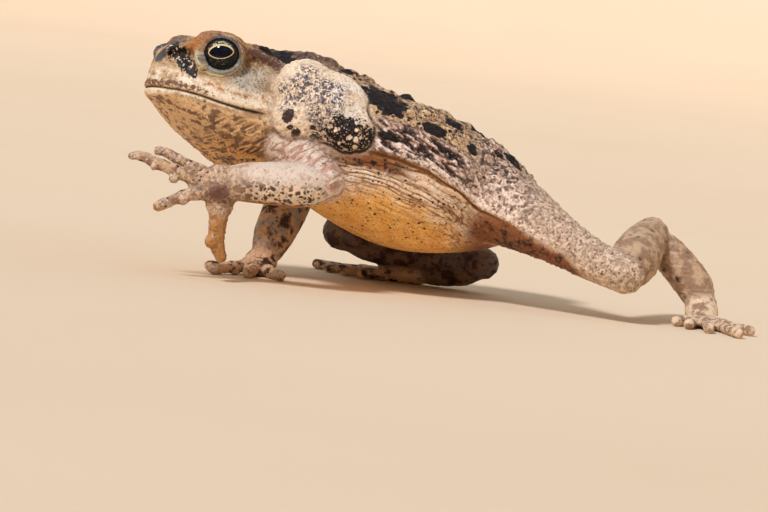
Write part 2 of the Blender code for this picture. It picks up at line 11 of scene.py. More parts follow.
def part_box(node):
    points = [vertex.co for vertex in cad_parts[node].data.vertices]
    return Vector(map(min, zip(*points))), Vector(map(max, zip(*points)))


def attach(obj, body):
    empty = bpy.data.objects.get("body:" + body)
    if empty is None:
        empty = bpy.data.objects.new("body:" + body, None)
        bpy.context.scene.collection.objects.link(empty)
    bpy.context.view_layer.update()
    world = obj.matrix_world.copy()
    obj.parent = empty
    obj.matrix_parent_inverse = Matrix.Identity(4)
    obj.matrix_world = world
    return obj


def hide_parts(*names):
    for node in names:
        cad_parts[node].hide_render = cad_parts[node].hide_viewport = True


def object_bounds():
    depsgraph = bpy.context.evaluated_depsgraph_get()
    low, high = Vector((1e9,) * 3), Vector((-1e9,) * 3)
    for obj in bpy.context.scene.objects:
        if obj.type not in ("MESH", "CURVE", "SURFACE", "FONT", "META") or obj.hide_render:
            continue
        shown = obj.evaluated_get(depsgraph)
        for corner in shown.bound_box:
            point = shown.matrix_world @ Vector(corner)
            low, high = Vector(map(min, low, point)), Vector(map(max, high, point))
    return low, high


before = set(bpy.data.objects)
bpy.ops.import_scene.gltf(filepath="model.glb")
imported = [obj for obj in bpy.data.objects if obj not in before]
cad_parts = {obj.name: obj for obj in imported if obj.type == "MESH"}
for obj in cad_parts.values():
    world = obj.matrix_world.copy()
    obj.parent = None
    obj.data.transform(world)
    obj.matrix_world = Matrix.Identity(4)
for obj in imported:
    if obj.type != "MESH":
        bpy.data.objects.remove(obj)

cad_low, cad_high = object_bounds()

# The skin is one seamless hide over head, trunk and limbs, cast in resin from the solids of the
# frame, grown together where they meet. The sections below tool and paint it area by area.
# Sizes are in millimetres.

MM = 0.001
EYES = ("eye_left", "eye_right")
WELD = 0.001
CAST_SWELL = 0.35  # closes the gaps between the solids, and is taken off again
CAST_GRID = 0.6
CAST_RELAX_ROUNDS = 12

flesh = [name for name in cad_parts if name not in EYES]


def turned(yaw, pitch, roll):
    """Degrees to a rotation: x points to the toad's rear, y to its right and z up."""
    return Euler((math.radians(-roll), math.radians(pitch), math.radians(yaw)), "XYZ").to_matrix().to_4x4()


def middle(node):
    low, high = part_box(node)
    return (low + high) / (2 * MM)


EYE_PLACE = (16.5, 13.0, 14.0)  # from the snout tip: rearward, out to either side and up
SNOUT_TO_NECK = Vector((41.6, 16.0, -2.6))
head_turn = turned(29.0, 9.5, 8.5)
snout_tip = middle("eye_left") - head_turn @ Vector((EYE_PLACE[0], -EYE_PLACE[1], EYE_PLACE[2]))
HEAD = Matrix.Translation(snout_tip) @ head_turn
TRUNK = Matrix.Translation(snout_tip + SNOUT_TO_NECK) @ turned(6.5, 15.8, 8.0)


def within(place, points):
    """Points of the model in a place's own axes."""
    return (points - np.array(place.translation)) @ np.array(place.to_3x3())


def numbers(items, field, each, kind=np.int32):
    """A field of a mesh's points, edges or corners, with so many numbers for each."""
    values = np.empty(len(items) * each, kind)
    items.foreach_get(field, values)
    return values.reshape(-1, each)


def positions(mesh):
    return numbers(mesh.vertices, "co", 3, np.float32).astype(float) / MM


def move_to(mesh, points):
    mesh.vertices.foreach_set("co", (points * MM).astype(np.float32).ravel())
    mesh.update()


def outward(mesh):
    return numbers(mesh.vertex_normals, "vector", 3, np.float32).astype(float)


def edges_of(mesh):
    return numbers(mesh.edges, "vertices", 2)


def spread(values, edges):
    """Each point takes the average of its neighbours."""
    count = len(values)
    a, b = edges.T
    met = np.bincount(a, minlength=count) + np.bincount(b, minlength=count)
    columns = values.reshape(count, -1).T
    total = [np.bincount(a, column[b], count) + np.bincount(b, column[a], count) for column in columns]
    return (np.array(total) / met).T.reshape(values.shape)


def settle(item):
    """Turns what the modifiers make into the object's own mesh."""
    graph = bpy.context.evaluated_depsgraph_get()
    made = bpy.data.meshes.new_from_object(item.evaluated_get(graph))
    item.modifiers.clear()
    item.data = made


def shown(name, data):
    item = bpy.data.objects.new(name, data)
    bpy.context.scene.collection.objects.link(item)
    return item


def meshed(name, clay):
    """A mesh from a worked-up shape, which is let go."""
    mesh = bpy.data.meshes.new(name)
    clay.to_mesh(mesh)
    clay.free()
    return mesh


swollen = bmesh.new()
corners, faces, owners = [], [], []
for name in flesh:
    piece = bmesh.new()
    piece.from_mesh(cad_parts[name].data)
    bmesh.ops.remove_doubles(piece, verts=piece.verts, dist=WELD * MM)
    piece.normal_update()
    first = len(corners)
    corners += [vert.co / MM for vert in piece.verts]
    faces += [[first + vert.index for vert in face.verts] for face in piece.faces]
    owners += [name] * len(piece.faces)
    for vert in piece.verts:
        vert.co += vert.normal * CAST_SWELL * MM
    mesh = meshed("swollen", piece)
    swollen.from_mesh(mesh)
    bpy.data.meshes.remove(mesh)
skin = shown("skin", meshed("skin", swollen))
grow = skin.modifiers.new("grow together", "REMESH")
grow.mode = "VOXEL"
grow.voxel_size = CAST_GRID * MM
settle(skin)

# Rounding without shrinking: each round pulls in and then pushes out a little more
edges = edges_of(skin.data)
points = positions(skin.data)
for _ in range(CAST_RELAX_ROUNDS):
    for amount in (0.5, -0.52):
        points += amount * (spread(points, edges) - points)
move_to(skin.data, points)
points -= outward(skin.data) * CAST_SWELL
move_to(skin.data, points)

# Which part of the body each point of the skin belongs to, softened where the parts meet
AREAS = {
    "head": ("head", "eardrum_left", "eardrum_right"),
    "jaw": ("lower_jaw",),
    "gland": ("parotoid_left", "parotoid_right"),
    "trunk": ("torso",),
    "upper_arm": ("upper_arm_left", "upper_arm_right"),
    "forearm": ("forearm_left", "forearm_right"),
    "hand": ("hand_left", "hand_right"),
    "thigh": ("thigh_left", "thigh_right"),
    "shank": ("shank_left", "shank_right", "tarsus_left", "tarsus_right"),
    "foot": ("foot_left", "foot_right"),
    "far_limb": ("upper_arm_right", "forearm_right", "thigh_right", "shank_right", "tarsus_right"),
}
AREA_BLUR_ROUNDS = 8
nearest = BVHTree.FromPolygons(corners, faces)
owner = np.array([owners[nearest.find_nearest(point)[2]] for point in points])
shares = {}
for area, nodes in AREAS.items():
    share = np.isin(owner, nodes).astype(float)
    for _ in range(AREA_BLUR_ROUNDS):
        share = spread(share, edges)
    shares[area] = share

# The hide lies smooth round the eyes, over the eardrums and across the joints of the limbs
SOFT_PLACES = [((16.5, 13.0, 13.0), 11.5), ((30.0, 20.6, 9.4), 7.5)]  # on the head, with their reach
SOFT_ROUNDS = 14
coarse_head = within(HEAD, points)
coarse_head[:, 1] = abs(coarse_head[:, 1])
soft = shares["forearm"] * (shares["hand"] + shares["upper_arm"])
soft += shares["shank"] * (shares["thigh"] + shares["foot"])
soft = np.clip(4 * soft, 0, 1)
for place, reach in SOFT_PLACES:
    soft = np.maximum(soft, np.clip(3 - 3 * np.linalg.norm(coarse_head - place, axis=1) / reach, 0, 1))
for _ in range(SOFT_ROUNDS):
    for amount in (0.6, -0.4):
        points += amount * soft[:, None] * (spread(points, edges) - points)

# Every four-sided face is split in four for the fine tooling
loops = skin.data.loops
quads, quad_edges = (numbers(loops, field, 1).reshape(-1, 4) for field in ("vertex_index", "edge_index"))
known = np.column_stack((points, *shares.values()))
known = np.vstack((known, known[edges].mean(axis=1), known[quads].mean(axis=1)))
side_points = len(points) + quad_edges
centres = np.broadcast_to((len(points) + len(edges) + np.arange(len(quads)))[:, None], quads.shape)
split = np.stack((quads, side_points, centres, np.roll(side_points, 1, axis=1)), axis=2)
mesh = bpy.data.meshes.new("skin")
mesh.from_pydata(known[:, :3] * MM, [], split.reshape(-1, 4))
skin.data = mesh
areas = dict(zip(shares, known[:, 3:].T))
SPLIT_RELAX_ROUNDS = 3
points = positions(mesh)
edges = edges_of(mesh)
for _ in range(SPLIT_RELAX_ROUNDS):
    for amount in (0.5, -0.5):
        points += amount * (spread(points, edges) - points)
move_to(mesh, points)

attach(skin, "root")
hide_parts(*flesh)

normals = outward(skin.data)
on_head = within(HEAD, points)
on_trunk = within(TRUNK, points)
on_head[:, 1] = abs(on_head[:, 1])  # the two sides are tooled alike
on_trunk[:, 1] = abs(on_trunk[:, 1])
relief = np.zeros(len(points))


def keep_mask(mesh, name, values):
    kept = mesh.attributes.new(name, "FLOAT", "POINT")
    kept.data.foreach_set("value", np.asarray(values, np.float32))


def mark(name, values):
    """Keeps a mask from 0 to 1 on the skin for the paint below."""
    keep_mask(skin.data, name, values)


def ease(values, low, high):
    """0 below low, 1 above high and a soft step between."""
    share = np.clip((values - low) / (high - low), 0, 1)
    return share * share * (3 - 2 * share)


def between(values, start, full, fading, gone):
    """0 before start, 1 from full to fading and 0 again once gone."""
    return ease(values, start, full) * (1 - ease(values, fading, gone))


def bell(distance, width):
    """1 at no distance, about a third at the width and soon nothing."""
    return np.exp(-(distance / width) ** 2)


def line_distance(places, rows):
    """Distance from each place to a line through the rows' points."""
    rows = np.array(rows, float)
    best = np.full(len(places), 1e9)
    for start, end in zip(rows, rows[1:]):
        way = end - start
        share = np.clip((places - start) @ way / (way @ way), 0, 1)
        best = np.minimum(best, np.linalg.norm(places - start - share[:, None] * way, axis=1))
    return best


def blot(places, centre, radii):
    """1 at the middle of a patch, 0 at its rim and below 0 outside it."""
    return 1 - np.linalg.norm((places - centre) / radii, axis=1)


SEED_FACTOR, AXIS_FACTORS = 40503, (73856093, 19349663, 83492791)
STIRS = ((15, 739982445), (12, 695872825))
LAST_SHIFT, LARGEST = 15, 4294967295.0


def drawn(cells, seed):
    """One fixed random number from 0 to 1 for each whole-number place."""
    stirred = np.uint32(seed * SEED_FACTOR)
    for axis, factor in enumerate(AXIS_FACTORS):
        stirred = stirred ^ cells[..., axis].astype(np.uint32) * np.uint32(factor)
    for shift, factor in STIRS:
        stirred = (stirred ^ (stirred >> np.uint32(shift))) * np.uint32(factor)
    return ((stirred ^ (stirred >> np.uint32(LAST_SHIFT))) / LARGEST).astype(np.float32)


def drift(places, size, seed):
    """Smooth wandering from -1 to 1 with waves about size long."""
    scaled = (places / size).astype(np.float32)
    corner = np.floor(scaled).astype(np.int32)
    share = scaled - corner
    share = share * share * (3 - 2 * share)
    total = np.zeros(len(places))
    for step in np.ndindex(2, 2, 2):
        weight = np.prod(np.where(step, share, 1 - share), axis=1)
        total += weight * drawn(corner + step, seed)
    return total * 2 - 1


def pebbles(places, size, seed):
    """Scattered seeds about size apart: distance to the nearest and the second, and its own number."""
    scaled = (places / size).astype(np.float32)
    corner = np.floor(scaled).astype(np.int32)
    first = np.full(len(places), 9.0)
    second, own = first.copy(), np.zeros(len(places))
    for step in np.ndindex(3, 3, 3):
        cell = corner + (np.array(step) - 1)
        gap = np.zeros(len(places))
        for axis in range(3):
            gap += (scaled[:, axis] - cell[:, axis] - drawn(cell, seed + axis)) ** 2
        gap = np.sqrt(gap)
        closer = gap < first
        second = np.where(closer, first, np.minimum(second, gap))
        own = np.where(closer, drawn(cell, seed + 3), own)
        first = np.minimum(first, gap)
    return first, second, own


GRAIN_REACH = 0.72  # how far a grain goes from its middle, as a share of the spacing
LOWEST_GRAIN = 0.55


def granules(places, size, seed, where, share=1.0, seam=0.28):
    """Rounded grains with seams between them, 0 to 1 high, on the part of the skin given by where."""
    height = np.zeros(len(places))
    chosen = np.flatnonzero(where > 0.02)
    first, second, own = pebbles(places[chosen], size, seed)
    dome = np.clip(1 - (first / GRAIN_REACH) ** 2, 0, 1) * ease(second - first, 0.0, seam)
    tall = LOWEST_GRAIN + (1 - LOWEST_GRAIN) * own / share
    height[chosen] = dome * (own < share) * tall * where[chosen]
    return height


# Paint of the skin: one dry resin finish that the sections below coat in turn, each coat through
# masks kept on the skin and through patterns drawn in millimetres of the model


def new_finish(name):
    """A material, its tree of nodes and its shader."""
    material = bpy.data.materials.new(name)
    material.use_nodes = True
    return material, material.node_tree, material.node_tree.nodes["Principled BSDF"]


paint, skin_tree, shader = new_finish("painted skin")


def screen(red, green, blue):
    """A paint colour from its 0 to 255 screen values."""
    shares = np.array((red, green, blue)) / 255
    linear = np.where(shares > 0.04, ((shares + 0.055) / 1.055) ** 2.4, shares / 12.92)
    return (*linear.tolist(), 1.0)


def effect(name, inputs):
    """An empty group of shader nodes: named numbers in, one mask out."""
    tree = bpy.data.node_groups.new(name, "ShaderNodeTree")
    for label, value in inputs.items():
        socket = tree.interface.new_socket(label, in_out="INPUT", socket_type="NodeSocketFloat")
        socket.default_value = value
    tree.interface.new_socket("Mask", in_out="OUTPUT", socket_type="NodeSocketFloat")
    given = tree.nodes.new("NodeGroupInput").outputs
    result = tree.nodes.new("NodeGroupOutput").inputs[0]
    return tree, given, result


def fill(tree, socket, value):
    if isinstance(value, bpy.types.NodeSocket):
        tree.links.new(value, socket)
    else:
        socket.default_value = value


def added(tree, kind, inputs):
    """A new node with sockets or numbers in its inputs."""
    node = tree.nodes.new(kind)
    for label, value in inputs.items():
        fill(tree, node.inputs[label], value)
    return node


def worked(tree, operation, *values):
    """The result of a sum on sockets or numbers."""
    node = added(tree, "ShaderNodeMath", dict(enumerate(values)))
    node.operation = operation
    return node.outputs[0]


def stepped(tree, value, low, high):
    """0 below low, 1 above high and a soft step between."""
    node = added(tree, "ShaderNodeMapRange", {"Value": value, "From Min": low, "From Max": high})
    node.interpolation_type = "SMOOTHSTEP"
    return node.outputs["Result"]


def faded(tree, value, low, high):
    """1 below low, 0 above high and a soft step between."""
    return worked(tree, "SUBTRACT", 1.0, stepped(tree, value, low, high))


def on_model(tree):
    return tree.nodes.new("ShaderNodeTexCoord").outputs["Object"]


def counted(tree, place, spacing, shift=None):
    """A place on the model counted in steps of this many millimetres, then moved by shift."""
    inputs = {"Vector": place, "Scale": worked(tree, "DIVIDE", 1 / MM, spacing)}
    if shift:
        inputs["Location"] = shift
    return added(tree, "ShaderNodeMapping", inputs).outputs[0]


def noise_at(tree, place, detail=3.0, roughness=0.6):
    inputs = {"Vector": place, "Scale": 1.0, "Detail": detail, "Roughness": roughness}
    return added(tree, "ShaderNodeTexNoise", inputs)


# Mottle: soft clouds. Spots: scattered dots with wavering rims. Ragged: breaks up a mask's rim.
mottle, given, result = effect("mottle", {"Spacing": 4.0, "Low": 0.4, "High": 0.6, "Shift": 0.0})
clouds = noise_at(mottle, counted(mottle, on_model(mottle), given["Spacing"], given["Shift"]))
mottle.links.new(stepped(mottle, clouds.outputs["Fac"], given["Low"], given["High"]), result)

SPOT_WAVER, WAVER_LENGTH = 1.5, 1.6  # how far the spots' rims wander, and over what length
SMALLEST_SPOT = 0.4
spots, given, result = effect("spots", {"Spacing": 2.5, "Size": 0.35, "Softness": 0.08, "Shift": 0.0})
place = on_model(spots)
clouds = noise_at(spots, counted(spots, place, WAVER_LENGTH), 2.0)
farthest = (SPOT_WAVER * MM,) * 3
wander = added(spots, "ShaderNodeVectorMath", {0: clouds.outputs["Color"], 1: farthest, 2: place})
wander.operation = "MULTIPLY_ADD"
steps = counted(spots, wander.outputs[0], given["Spacing"], given["Shift"])
dots = added(spots, "ShaderNodeTexVoronoi", {"Vector": steps, "Scale": 1.0})
own = added(spots, "ShaderNodeSeparateColor", {0: dots.outputs["Color"]}).outputs[0]
reach = worked(spots, "MULTIPLY", given["Size"], worked(spots, "ADD", own, SMALLEST_SPOT))
inner = worked(spots, "SUBTRACT", reach, given["Softness"])
spots.links.new(faded(spots, dots.outputs["Distance"], inner, reach), result)

rim_values = {"Mask": 0.0, "Spacing": 2.0, "Amount": 0.5, "Softness": 0.1, "Shift": 0.0}
ragged, given, result = effect("ragged", rim_values)
clouds = noise_at(ragged, counted(ragged, on_model(ragged), given["Spacing"], given["Shift"])).outputs["Fac"]
swing = worked(ragged, "SUBTRACT", clouds, 0.5)
pushed = worked(ragged, "MULTIPLY_ADD", swing, given["Amount"], given["Mask"])
low = worked(ragged, "SUBTRACT", 0.5, given["Softness"])
high = worked(ragged, "ADD", 0.5, given["Softness"])
ragged.links.new(stepped(ragged, pushed, low, high), result)

SHIFT_STEP = 3.7
uses = itertools.count(1)


def use(tree, group, **values):
    """An effect placed in a material, moved so that no two uses look alike; the mask that it gives."""
    node = tree.nodes.new("ShaderNodeGroup")
    node.node_tree = group
    for label, value in {**values, "Shift": SHIFT_STEP * next(uses)}.items():
        fill(tree, node.inputs[label], value)
    return node.outputs["Mask"]


def mixed(tree, under, over, mask):
    """One colour laid over another where the mask says."""
    node = added(tree, "ShaderNodeMix", {0: mask, 6: under, 7: over})
    node.data_type = "RGBA"
    return node.outputs[2]


def masked(name, tree=skin_tree):
    """A mask that the mesh keeps under this name."""
    node = tree.nodes.new("ShaderNodeAttribute")
    node.attribute_name = name
    return node.outputs["Fac"]


def where_all(masks):
    total = masks[0]
    for other in masks[1:]:
        total = worked(skin_tree, "MULTIPLY", total, other)
    return total


def clouded(spacing, low, high):
    """Clouds on the skin, spacing across, that begin at low and are full at high."""
    return use(skin_tree, mottle, Spacing=spacing, Low=low, High=high)


def dotted(spacing, size, softness):
    """Dots on the skin, spacing apart, of a size and softness given as shares of the spacing."""
    return use(skin_tree, spots, Spacing=spacing, Size=size, Softness=softness)


def torn(name, spacing, amount, softness):
    """A mask of the skin with its rim broken up."""
    return use(skin_tree, ragged, Mask=masked(name), Spacing=spacing, Amount=amount, Softness=softness)


# The crests of the relief: the paler paint laid on them in the sections below is a painted highlight
lit_crest = masked("crest_highlight")
# The brown below serves as painted shade in the skin's hollows and as fine dark clouds all over
HIDE_TAN, HIDE_BROWN, SHADE_AND_SPECKLE_BROWN = screen(190, 158, 130), screen(146, 112, 90), screen(66, 42, 32)
BROW_RED = screen(118, 76, 62)
surface = mixed(skin_tree, HIDE_TAN, HIDE_BROWN, clouded(5.0, 0.35, 0.65))


def coat(colour, *masks):
    """Lays a colour over the skin so far where all the masks meet. A mask of the skin goes by its name."""
    global surface
    sockets = [masked(mask) if isinstance(mask, str) else mask for mask in masks]
    surface = mixed(skin_tree, surface, colour, where_all(sockets))


# The trunk: a pebbled back with black patches, a fold from gland to groin on each flank, wrinkled
# sides and a smooth golden belly. Tooled in the cast skin and painted. Places are in millimetres
# in the trunk's own axes: rearward from the neck, out from the middle, up.

FOLD_LINE = [(-5.0, -14.0), (10.0, -11.0), (20.0, -7.5), (30.5, -5.4), (38.8, -4.9), (49.3, -4.9),
             (59.1, -7.1), (70.0, -10.6), (77.0, -11.4), (84.0, -12.4), (91.0, -13.4), (96.5, -15.3),
             (104.0, -18.0), (112.0, -20.5), (125.0, -22.0)]
BACK_TAN, BACK_BROWN, BACK_PALE = screen(204, 164, 118), screen(146, 108, 80), screen(236, 206, 164)
PATCH_BLACK, SPOT_BLACK = screen(14, 10, 14), screen(36, 25, 25)
WART_PINK, WART_BROWN, WART_WHITE = screen(194, 154, 134), screen(118, 86, 74), screen(250, 234, 220)
FLANK_CREAM, FLANK_WHITE = screen(248, 214, 180), screen(255, 246, 232)
CREASE_ORANGE, STREAK_BROWN = screen(154, 98, 48), screen(150, 106, 72)
BELLY_GOLD, BELLY_DEEP, GROIN_BROWN = screen(255, 196, 108), screen(242, 170, 82), screen(140, 84, 48)
RUMP_BROWN, RUMP_GREY, RUMP_PINK = screen(178, 146, 124), screen(108, 90, 84), screen(250, 224, 204)
DOT_BROWN, NAPE_BROWN = screen(70, 42, 28), screen(84, 54, 46)
THIGH_TAUPE, THIGH_PALE = screen(190, 162, 136), screen(234, 206, 180)

trunk, thigh, gland, head = areas["trunk"], areas["thigh"], areas["gland"], areas["head"]
hull = np.clip(trunk + thigh + gland, 0, 1)
x, y, z = on_trunk.T
below = np.interp(x, *np.transpose(FOLD_LINE)) - z + 0.8 * drift(on_trunk, 9.0, 3)
right_side = within(TRUNK, points)[:, 1] > 0
flowing = np.column_stack((x / 5.0, y / 1.5, below))  # drawn out along the fold
slanted = np.column_stack((x / 2.6, y, z + 0.25 * x))

tubercles = hull * between(-below, -0.2, 1.6, 9.0, 13.0) * between(x, 22, 32, 60, 74) * (1 - gland)
back = trunk * ease(-below, 8.6, 12.4)
rump = hull * ease(x, 56, 70) * ease(-below, -0.5, 3.0)
wrinkled = trunk * between(below, 0.0, 1.4, 12.0, 24.0) * between(x, 6, 14, 66, 78)

relief += 0.50 * granules(on_trunk, 3.0, 11, back, share=0.6, seam=0.5)
relief += 0.30 * back * drift(on_trunk, 1.5, 12)
wart = drift(slanted, 1.15, 13) + 0.45 * drift(slanted, 0.6, 14) + 0.3 * drift(slanted, 3.0, 19)
wart = ease(wart, -0.42, 0.40)
relief += 0.85 * tubercles * (wart - 0.4)
rump_grain = ease(drift(on_trunk, 1.25, 17) + 0.5 * drift(on_trunk, 0.7, 18), -0.5, 0.5)
relief += 0.50 * rump * (rump_grain - 0.4)
relief += 0.30 * granules(on_trunk, 2.6, 15, rump, share=0.5, seam=0.5)
waves = abs(drift(flowing * (0.5, 1, 1) + 0.5 * drift(on_trunk, 8.0, 22)[:, None], 1.35, 21))
fine_waves = abs(drift(flowing * (0.4, 0.6, 1.1) + 0.4 * drift(on_trunk, 5.0, 24)[:, None], 0.7, 23))
wrinkle_height = 0.7 * waves ** 0.5 + 0.45 * fine_waves ** 0.5
relief += 0.9 * wrinkled * (wrinkle_height - 0.65) * (1 - 0.6 * ease(below, 4.0, 14.0))
relief += 0.10 * granules(on_trunk, 1.0, 16, trunk * ease(below, 4.0, 12.0), seam=0.5)
fold_depth = hull * between(x, 24, 34, 66, 84)
relief -= 0.7 * bell(below - 0.5, 0.5) * fold_depth
relief += 0.35 * bell(below + 1.2, 1.2) * fold_depth

back_cover = np.clip(trunk + head * ease(on_head[:, 0], 27.0, 34.0), 0, 1) * ease(-below, 8.6, 12.4)
mark("back", back_cover)
mark("rump", rump)
knee_fade = 1 - ease(x + 2.0 * drift(on_trunk, 6.0, 26), 76, 97)
rump_gap = rump * knee_fade * (1 - ease(rump_grain, 0.05, 0.5))
mark("rump_gap", rump_gap * (0.45 + 0.55 * ease(-below, 8.0, 16.0)))
mark("rump_pale", rump * (1 - ease(-below, 6.0, 17.0)))
mark("rump_speckled", rump * knee_fade)
mark("thigh_end", thigh * (1 - knee_fade))
mark("tubercles", tubercles)
# The low ground between the tubercles, painted near black below, partly as painted shade
mark("wart_gap", tubercles * (1 - ease(wart, 0.0, 0.38)))
mark("wart_top", tubercles * ease(wart, 0.5, 0.9))
mark("below_fold", hull * ease(below, -0.2, 0.8))
mark("wrinkle_floor", wrinkled * (1 - ease(wrinkle_height, 0.30, 0.62)) * (1 - 0.8 * ease(below, 7.0, 16.0)))
mark("wrinkle_top", wrinkled * ease(wrinkle_height, 0.60, 0.90) * (1 - ease(below, 9.0, 17.0)))
mark("golden", trunk * ease(below - 5.0 * bell(x - 27.0, 9.0), 5.5, 15.0))
mark("groin", hull * ease(x, 63, 77) * ease(below, 1.5, 6.0))
under_thigh = thigh * ease(below, -0.6, 1.2) * ease(x, 60, 74)
thigh_grain = 0.35 * granules(on_trunk, 1.8, 20, under_thigh, seam=0.6)
relief += under_thigh * (thigh_grain + 0.25 * drift(flowing, 1.2, 25))
mark("under_thigh", under_thigh)
mark("fold_white", hull * bell(below + 1.5, 1.4) * between(x, 26, 58, 84, 100))
mark("fold_line", hull * bell(below - 0.5, 0.55) * between(x, 24, 34, 76, 92))
mark("under_gland", trunk * between(below, -1.0, 0.6, 3.6, 6.4) * between(x, 8, 16, 34, 48))
mark("nape", (trunk + head) * bell(blot(on_trunk, (2.0, 8.0, 17.5), (16.0, 10.0, 5.0)) - 1.0, 1.1))

coat(BACK_TAN, "back")
coat(BACK_BROWN, "back", clouded(2.6, 0.48, 0.60))
coat(BACK_PALE, "back", lit_crest)
coat(NAPE_BROWN, "nape", clouded(1.8, 0.20, 0.42))
coat(SPOT_BLACK, "back", dotted(1.7, 0.46, 0.10))
coat(SPOT_BLACK, "back", dotted(0.9, 0.34, 0.12))
coat(WART_BROWN, "tubercles")
coat(WART_PINK, "wart_top")
coat(WART_WHITE, "wart_top", clouded(2.0, 0.46, 0.60))
# Near black between the tubercles, partly painted shade
coat(PATCH_BLACK, "wart_gap")
coat(SPOT_BLACK, "tubercles", dotted(1.9, 0.30, 0.12))
coat(RUMP_BROWN, "rump")
coat(RUMP_PINK, "rump_pale", clouded(2.2, 0.40, 0.58))
coat(RUMP_PINK, "rump_speckled", lit_crest, clouded(3.0, 0.42, 0.6))
coat(RUMP_GREY, "rump_gap")
coat(SPOT_BLACK, "rump_gap", clouded(1.6, 0.45, 0.6))
coat(SPOT_BLACK, "rump_speckled", dotted(2.2, 0.30, 0.14))
coat(THIGH_TAUPE, "thigh_end")
coat(THIGH_PALE, "thigh_end", clouded(2.4, 0.36, 0.64))
coat(HIDE_BROWN, "thigh_end", dotted(1.5, 0.34, 0.25))
coat(FLANK_CREAM, "below_fold")
coat(BELLY_GOLD, "golden")
coat(BELLY_DEEP, "golden", clouded(7.0, 0.40, 0.70))
coat(FLANK_WHITE, "wrinkle_top", clouded(3.0, 0.38, 0.62))
coat(STREAK_BROWN, "wrinkle_floor", clouded(1.6, 0.32, 0.50))
coat(DOT_BROWN, "below_fold", dotted(1.8, 0.22, 0.08))
coat(RUMP_PINK, torn("fold_white", 0.9, 2.8, 0.4))
coat(HIDE_BROWN, "fold_white", dotted(1.4, 0.40, 0.25))
coat(CREASE_ORANGE, "under_gland")
coat(GROIN_BROWN, "under_gland", clouded(2.6, 0.40, 0.56))
coat(SPOT_BLACK, "under_gland", dotted(2.0, 0.52, 0.15))
coat(CREASE_ORANGE, torn("fold_line", 2.0, 0.9, 0.3))
coat(GROIN_BROWN, "groin", clouded(8.0, 0.1, 0.4))
coat(GROIN_BROWN, "under_thigh")
coat(SPOT_BLACK, "under_thigh", clouded(3.6, 0.46, 0.62))
coat(CREASE_ORANGE, "under_thigh", lit_crest, clouded(3.0, 0.4, 0.6))

# The head: thin hide drawn over bone. Bony rims above the eyes and behind them, a clean line to
# the mouth between rounded lips, a slit nostril and a flat eardrum on each side. Places are in
# the head's own axes: rearward from the snout tip, out from the middle, up from the mouth.

MOUTH_LINE = [(-8.0, 0.2), (0.0, 0.1), (4.8, 0.0), (10.3, -0.8), (16.6, -2.0), (23.1, -2.7), (30.5, -2.8),
              (36.0, -2.6)]
MOUTH_END = 30.5
EYE_GAZE = (-0.54, 0.84, -0.07)
EYE_RADIUS = 6.3
SNUG_REACH, SNUG_RADIUS, LID_REACH = 6.9, 6.1, 9.0  # where the hide is tucked in behind the eyeball
SOCKET_ROUNDS = 30
OFF_RIM = [(0.0, 9.0), (0.004, 3.0), (0.042, 2.0), (0.084, 1.6), (0.13, 1.3), (0.17, 1.1), (0.30, 0.6),
           (0.5, 0.0), (0.70, -0.6), (0.83, -1.1), (1.0, -3.0)]  # the spread socket, then millimetres
LID_LONG, LID_HIGH = 5.75, 5.2  # half the opening between the lids
NOSTRIL, NOSTRIL_REACH = (2.3, 4.2, 12.2), (0.7, 1.2, 1.3)
EARDRUM, EARDRUM_RADIUS = (30.0, 20.6, 9.4), 3.9
BROW = [(7.6, 9.2, 15.4), (11.0, 11.4, 18.6), (16.5, 12.4, 20.6), (21.0, 12.4, 20.2), (24.5, 11.8, 18.6)]
EYE_FRONT = [(9.6, 9.8, 17.0), (8.8, 13.0, 12.6), (9.4, 14.4, 8.0), (10.6, 14.6, 5.6)]
EYE_REAR = [(21.6, 15.6, 18.2), (25.3, 15.0, 17.4), (29.2, 16.3, 16.0), (33.0, 18.6, 14.6),
            (36.4, 20.4, 13.0)]
DARK_BEFORE_EYE = [(3.6, 4.8, 13.2), (5.6, 7.2, 10.8), (6.6, 8.9, 8.2), (8.2, 11.2, 5.9)]
SNOUT_RIM = [(0.0, 2.0, 9.6), (1.6, 3.2, 12.6), (4.2, 5.4, 15.4), (8.6, 7.4, 17.4)]
HEAD_CREAM, HEAD_TAN = screen(208, 176, 132), screen(180, 140, 98)
BROW_ORANGE = screen(190, 120, 56)
SNOUT_SLATE, RIDGE_BROWN = screen(86, 84, 90), screen(98, 68, 58)
CHEEK_OLIVE, CHEEK_GREY = screen(198, 184, 164), screen(96, 86, 86)
LIP_WHITE, LIP_RUST = screen(248, 228, 200), screen(120, 80, 50)
LID_BLUE, LID_WHITE, LID_OLIVE = screen(150, 162, 164), screen(226, 228, 214), screen(212, 204, 168)
THROAT_OCHRE, THROAT_ORANGE, THROAT_BROWN = screen(240, 198, 150), screen(240, 184, 118), screen(140, 108, 84)
THROAT_PALE, MOUTH_DARK = screen(230, 192, 140), screen(50, 32, 26)

jaw = areas["jaw"]
face = head + jaw
x, y, z = on_head.T
gape = z - np.interp(x, *np.transpose(MOUTH_LINE))
lipped = face * (1 - ease(x, MOUTH_END - 4.0, MOUTH_END + 1.5))
lip_waver = 0.25 * drift(on_head, 3.0, 46) + 0.12 * drift(on_head, 1.1, 47)
gape = gape + lip_waver * ease(abs(gape), 0.0, 3.0)
relief -= 0.62 * bell(gape, 0.32) * lipped
relief += (0.22 * bell(gape - 1.2, 0.8) + 0.18 * bell(gape + 1.1, 0.7)) * lipped

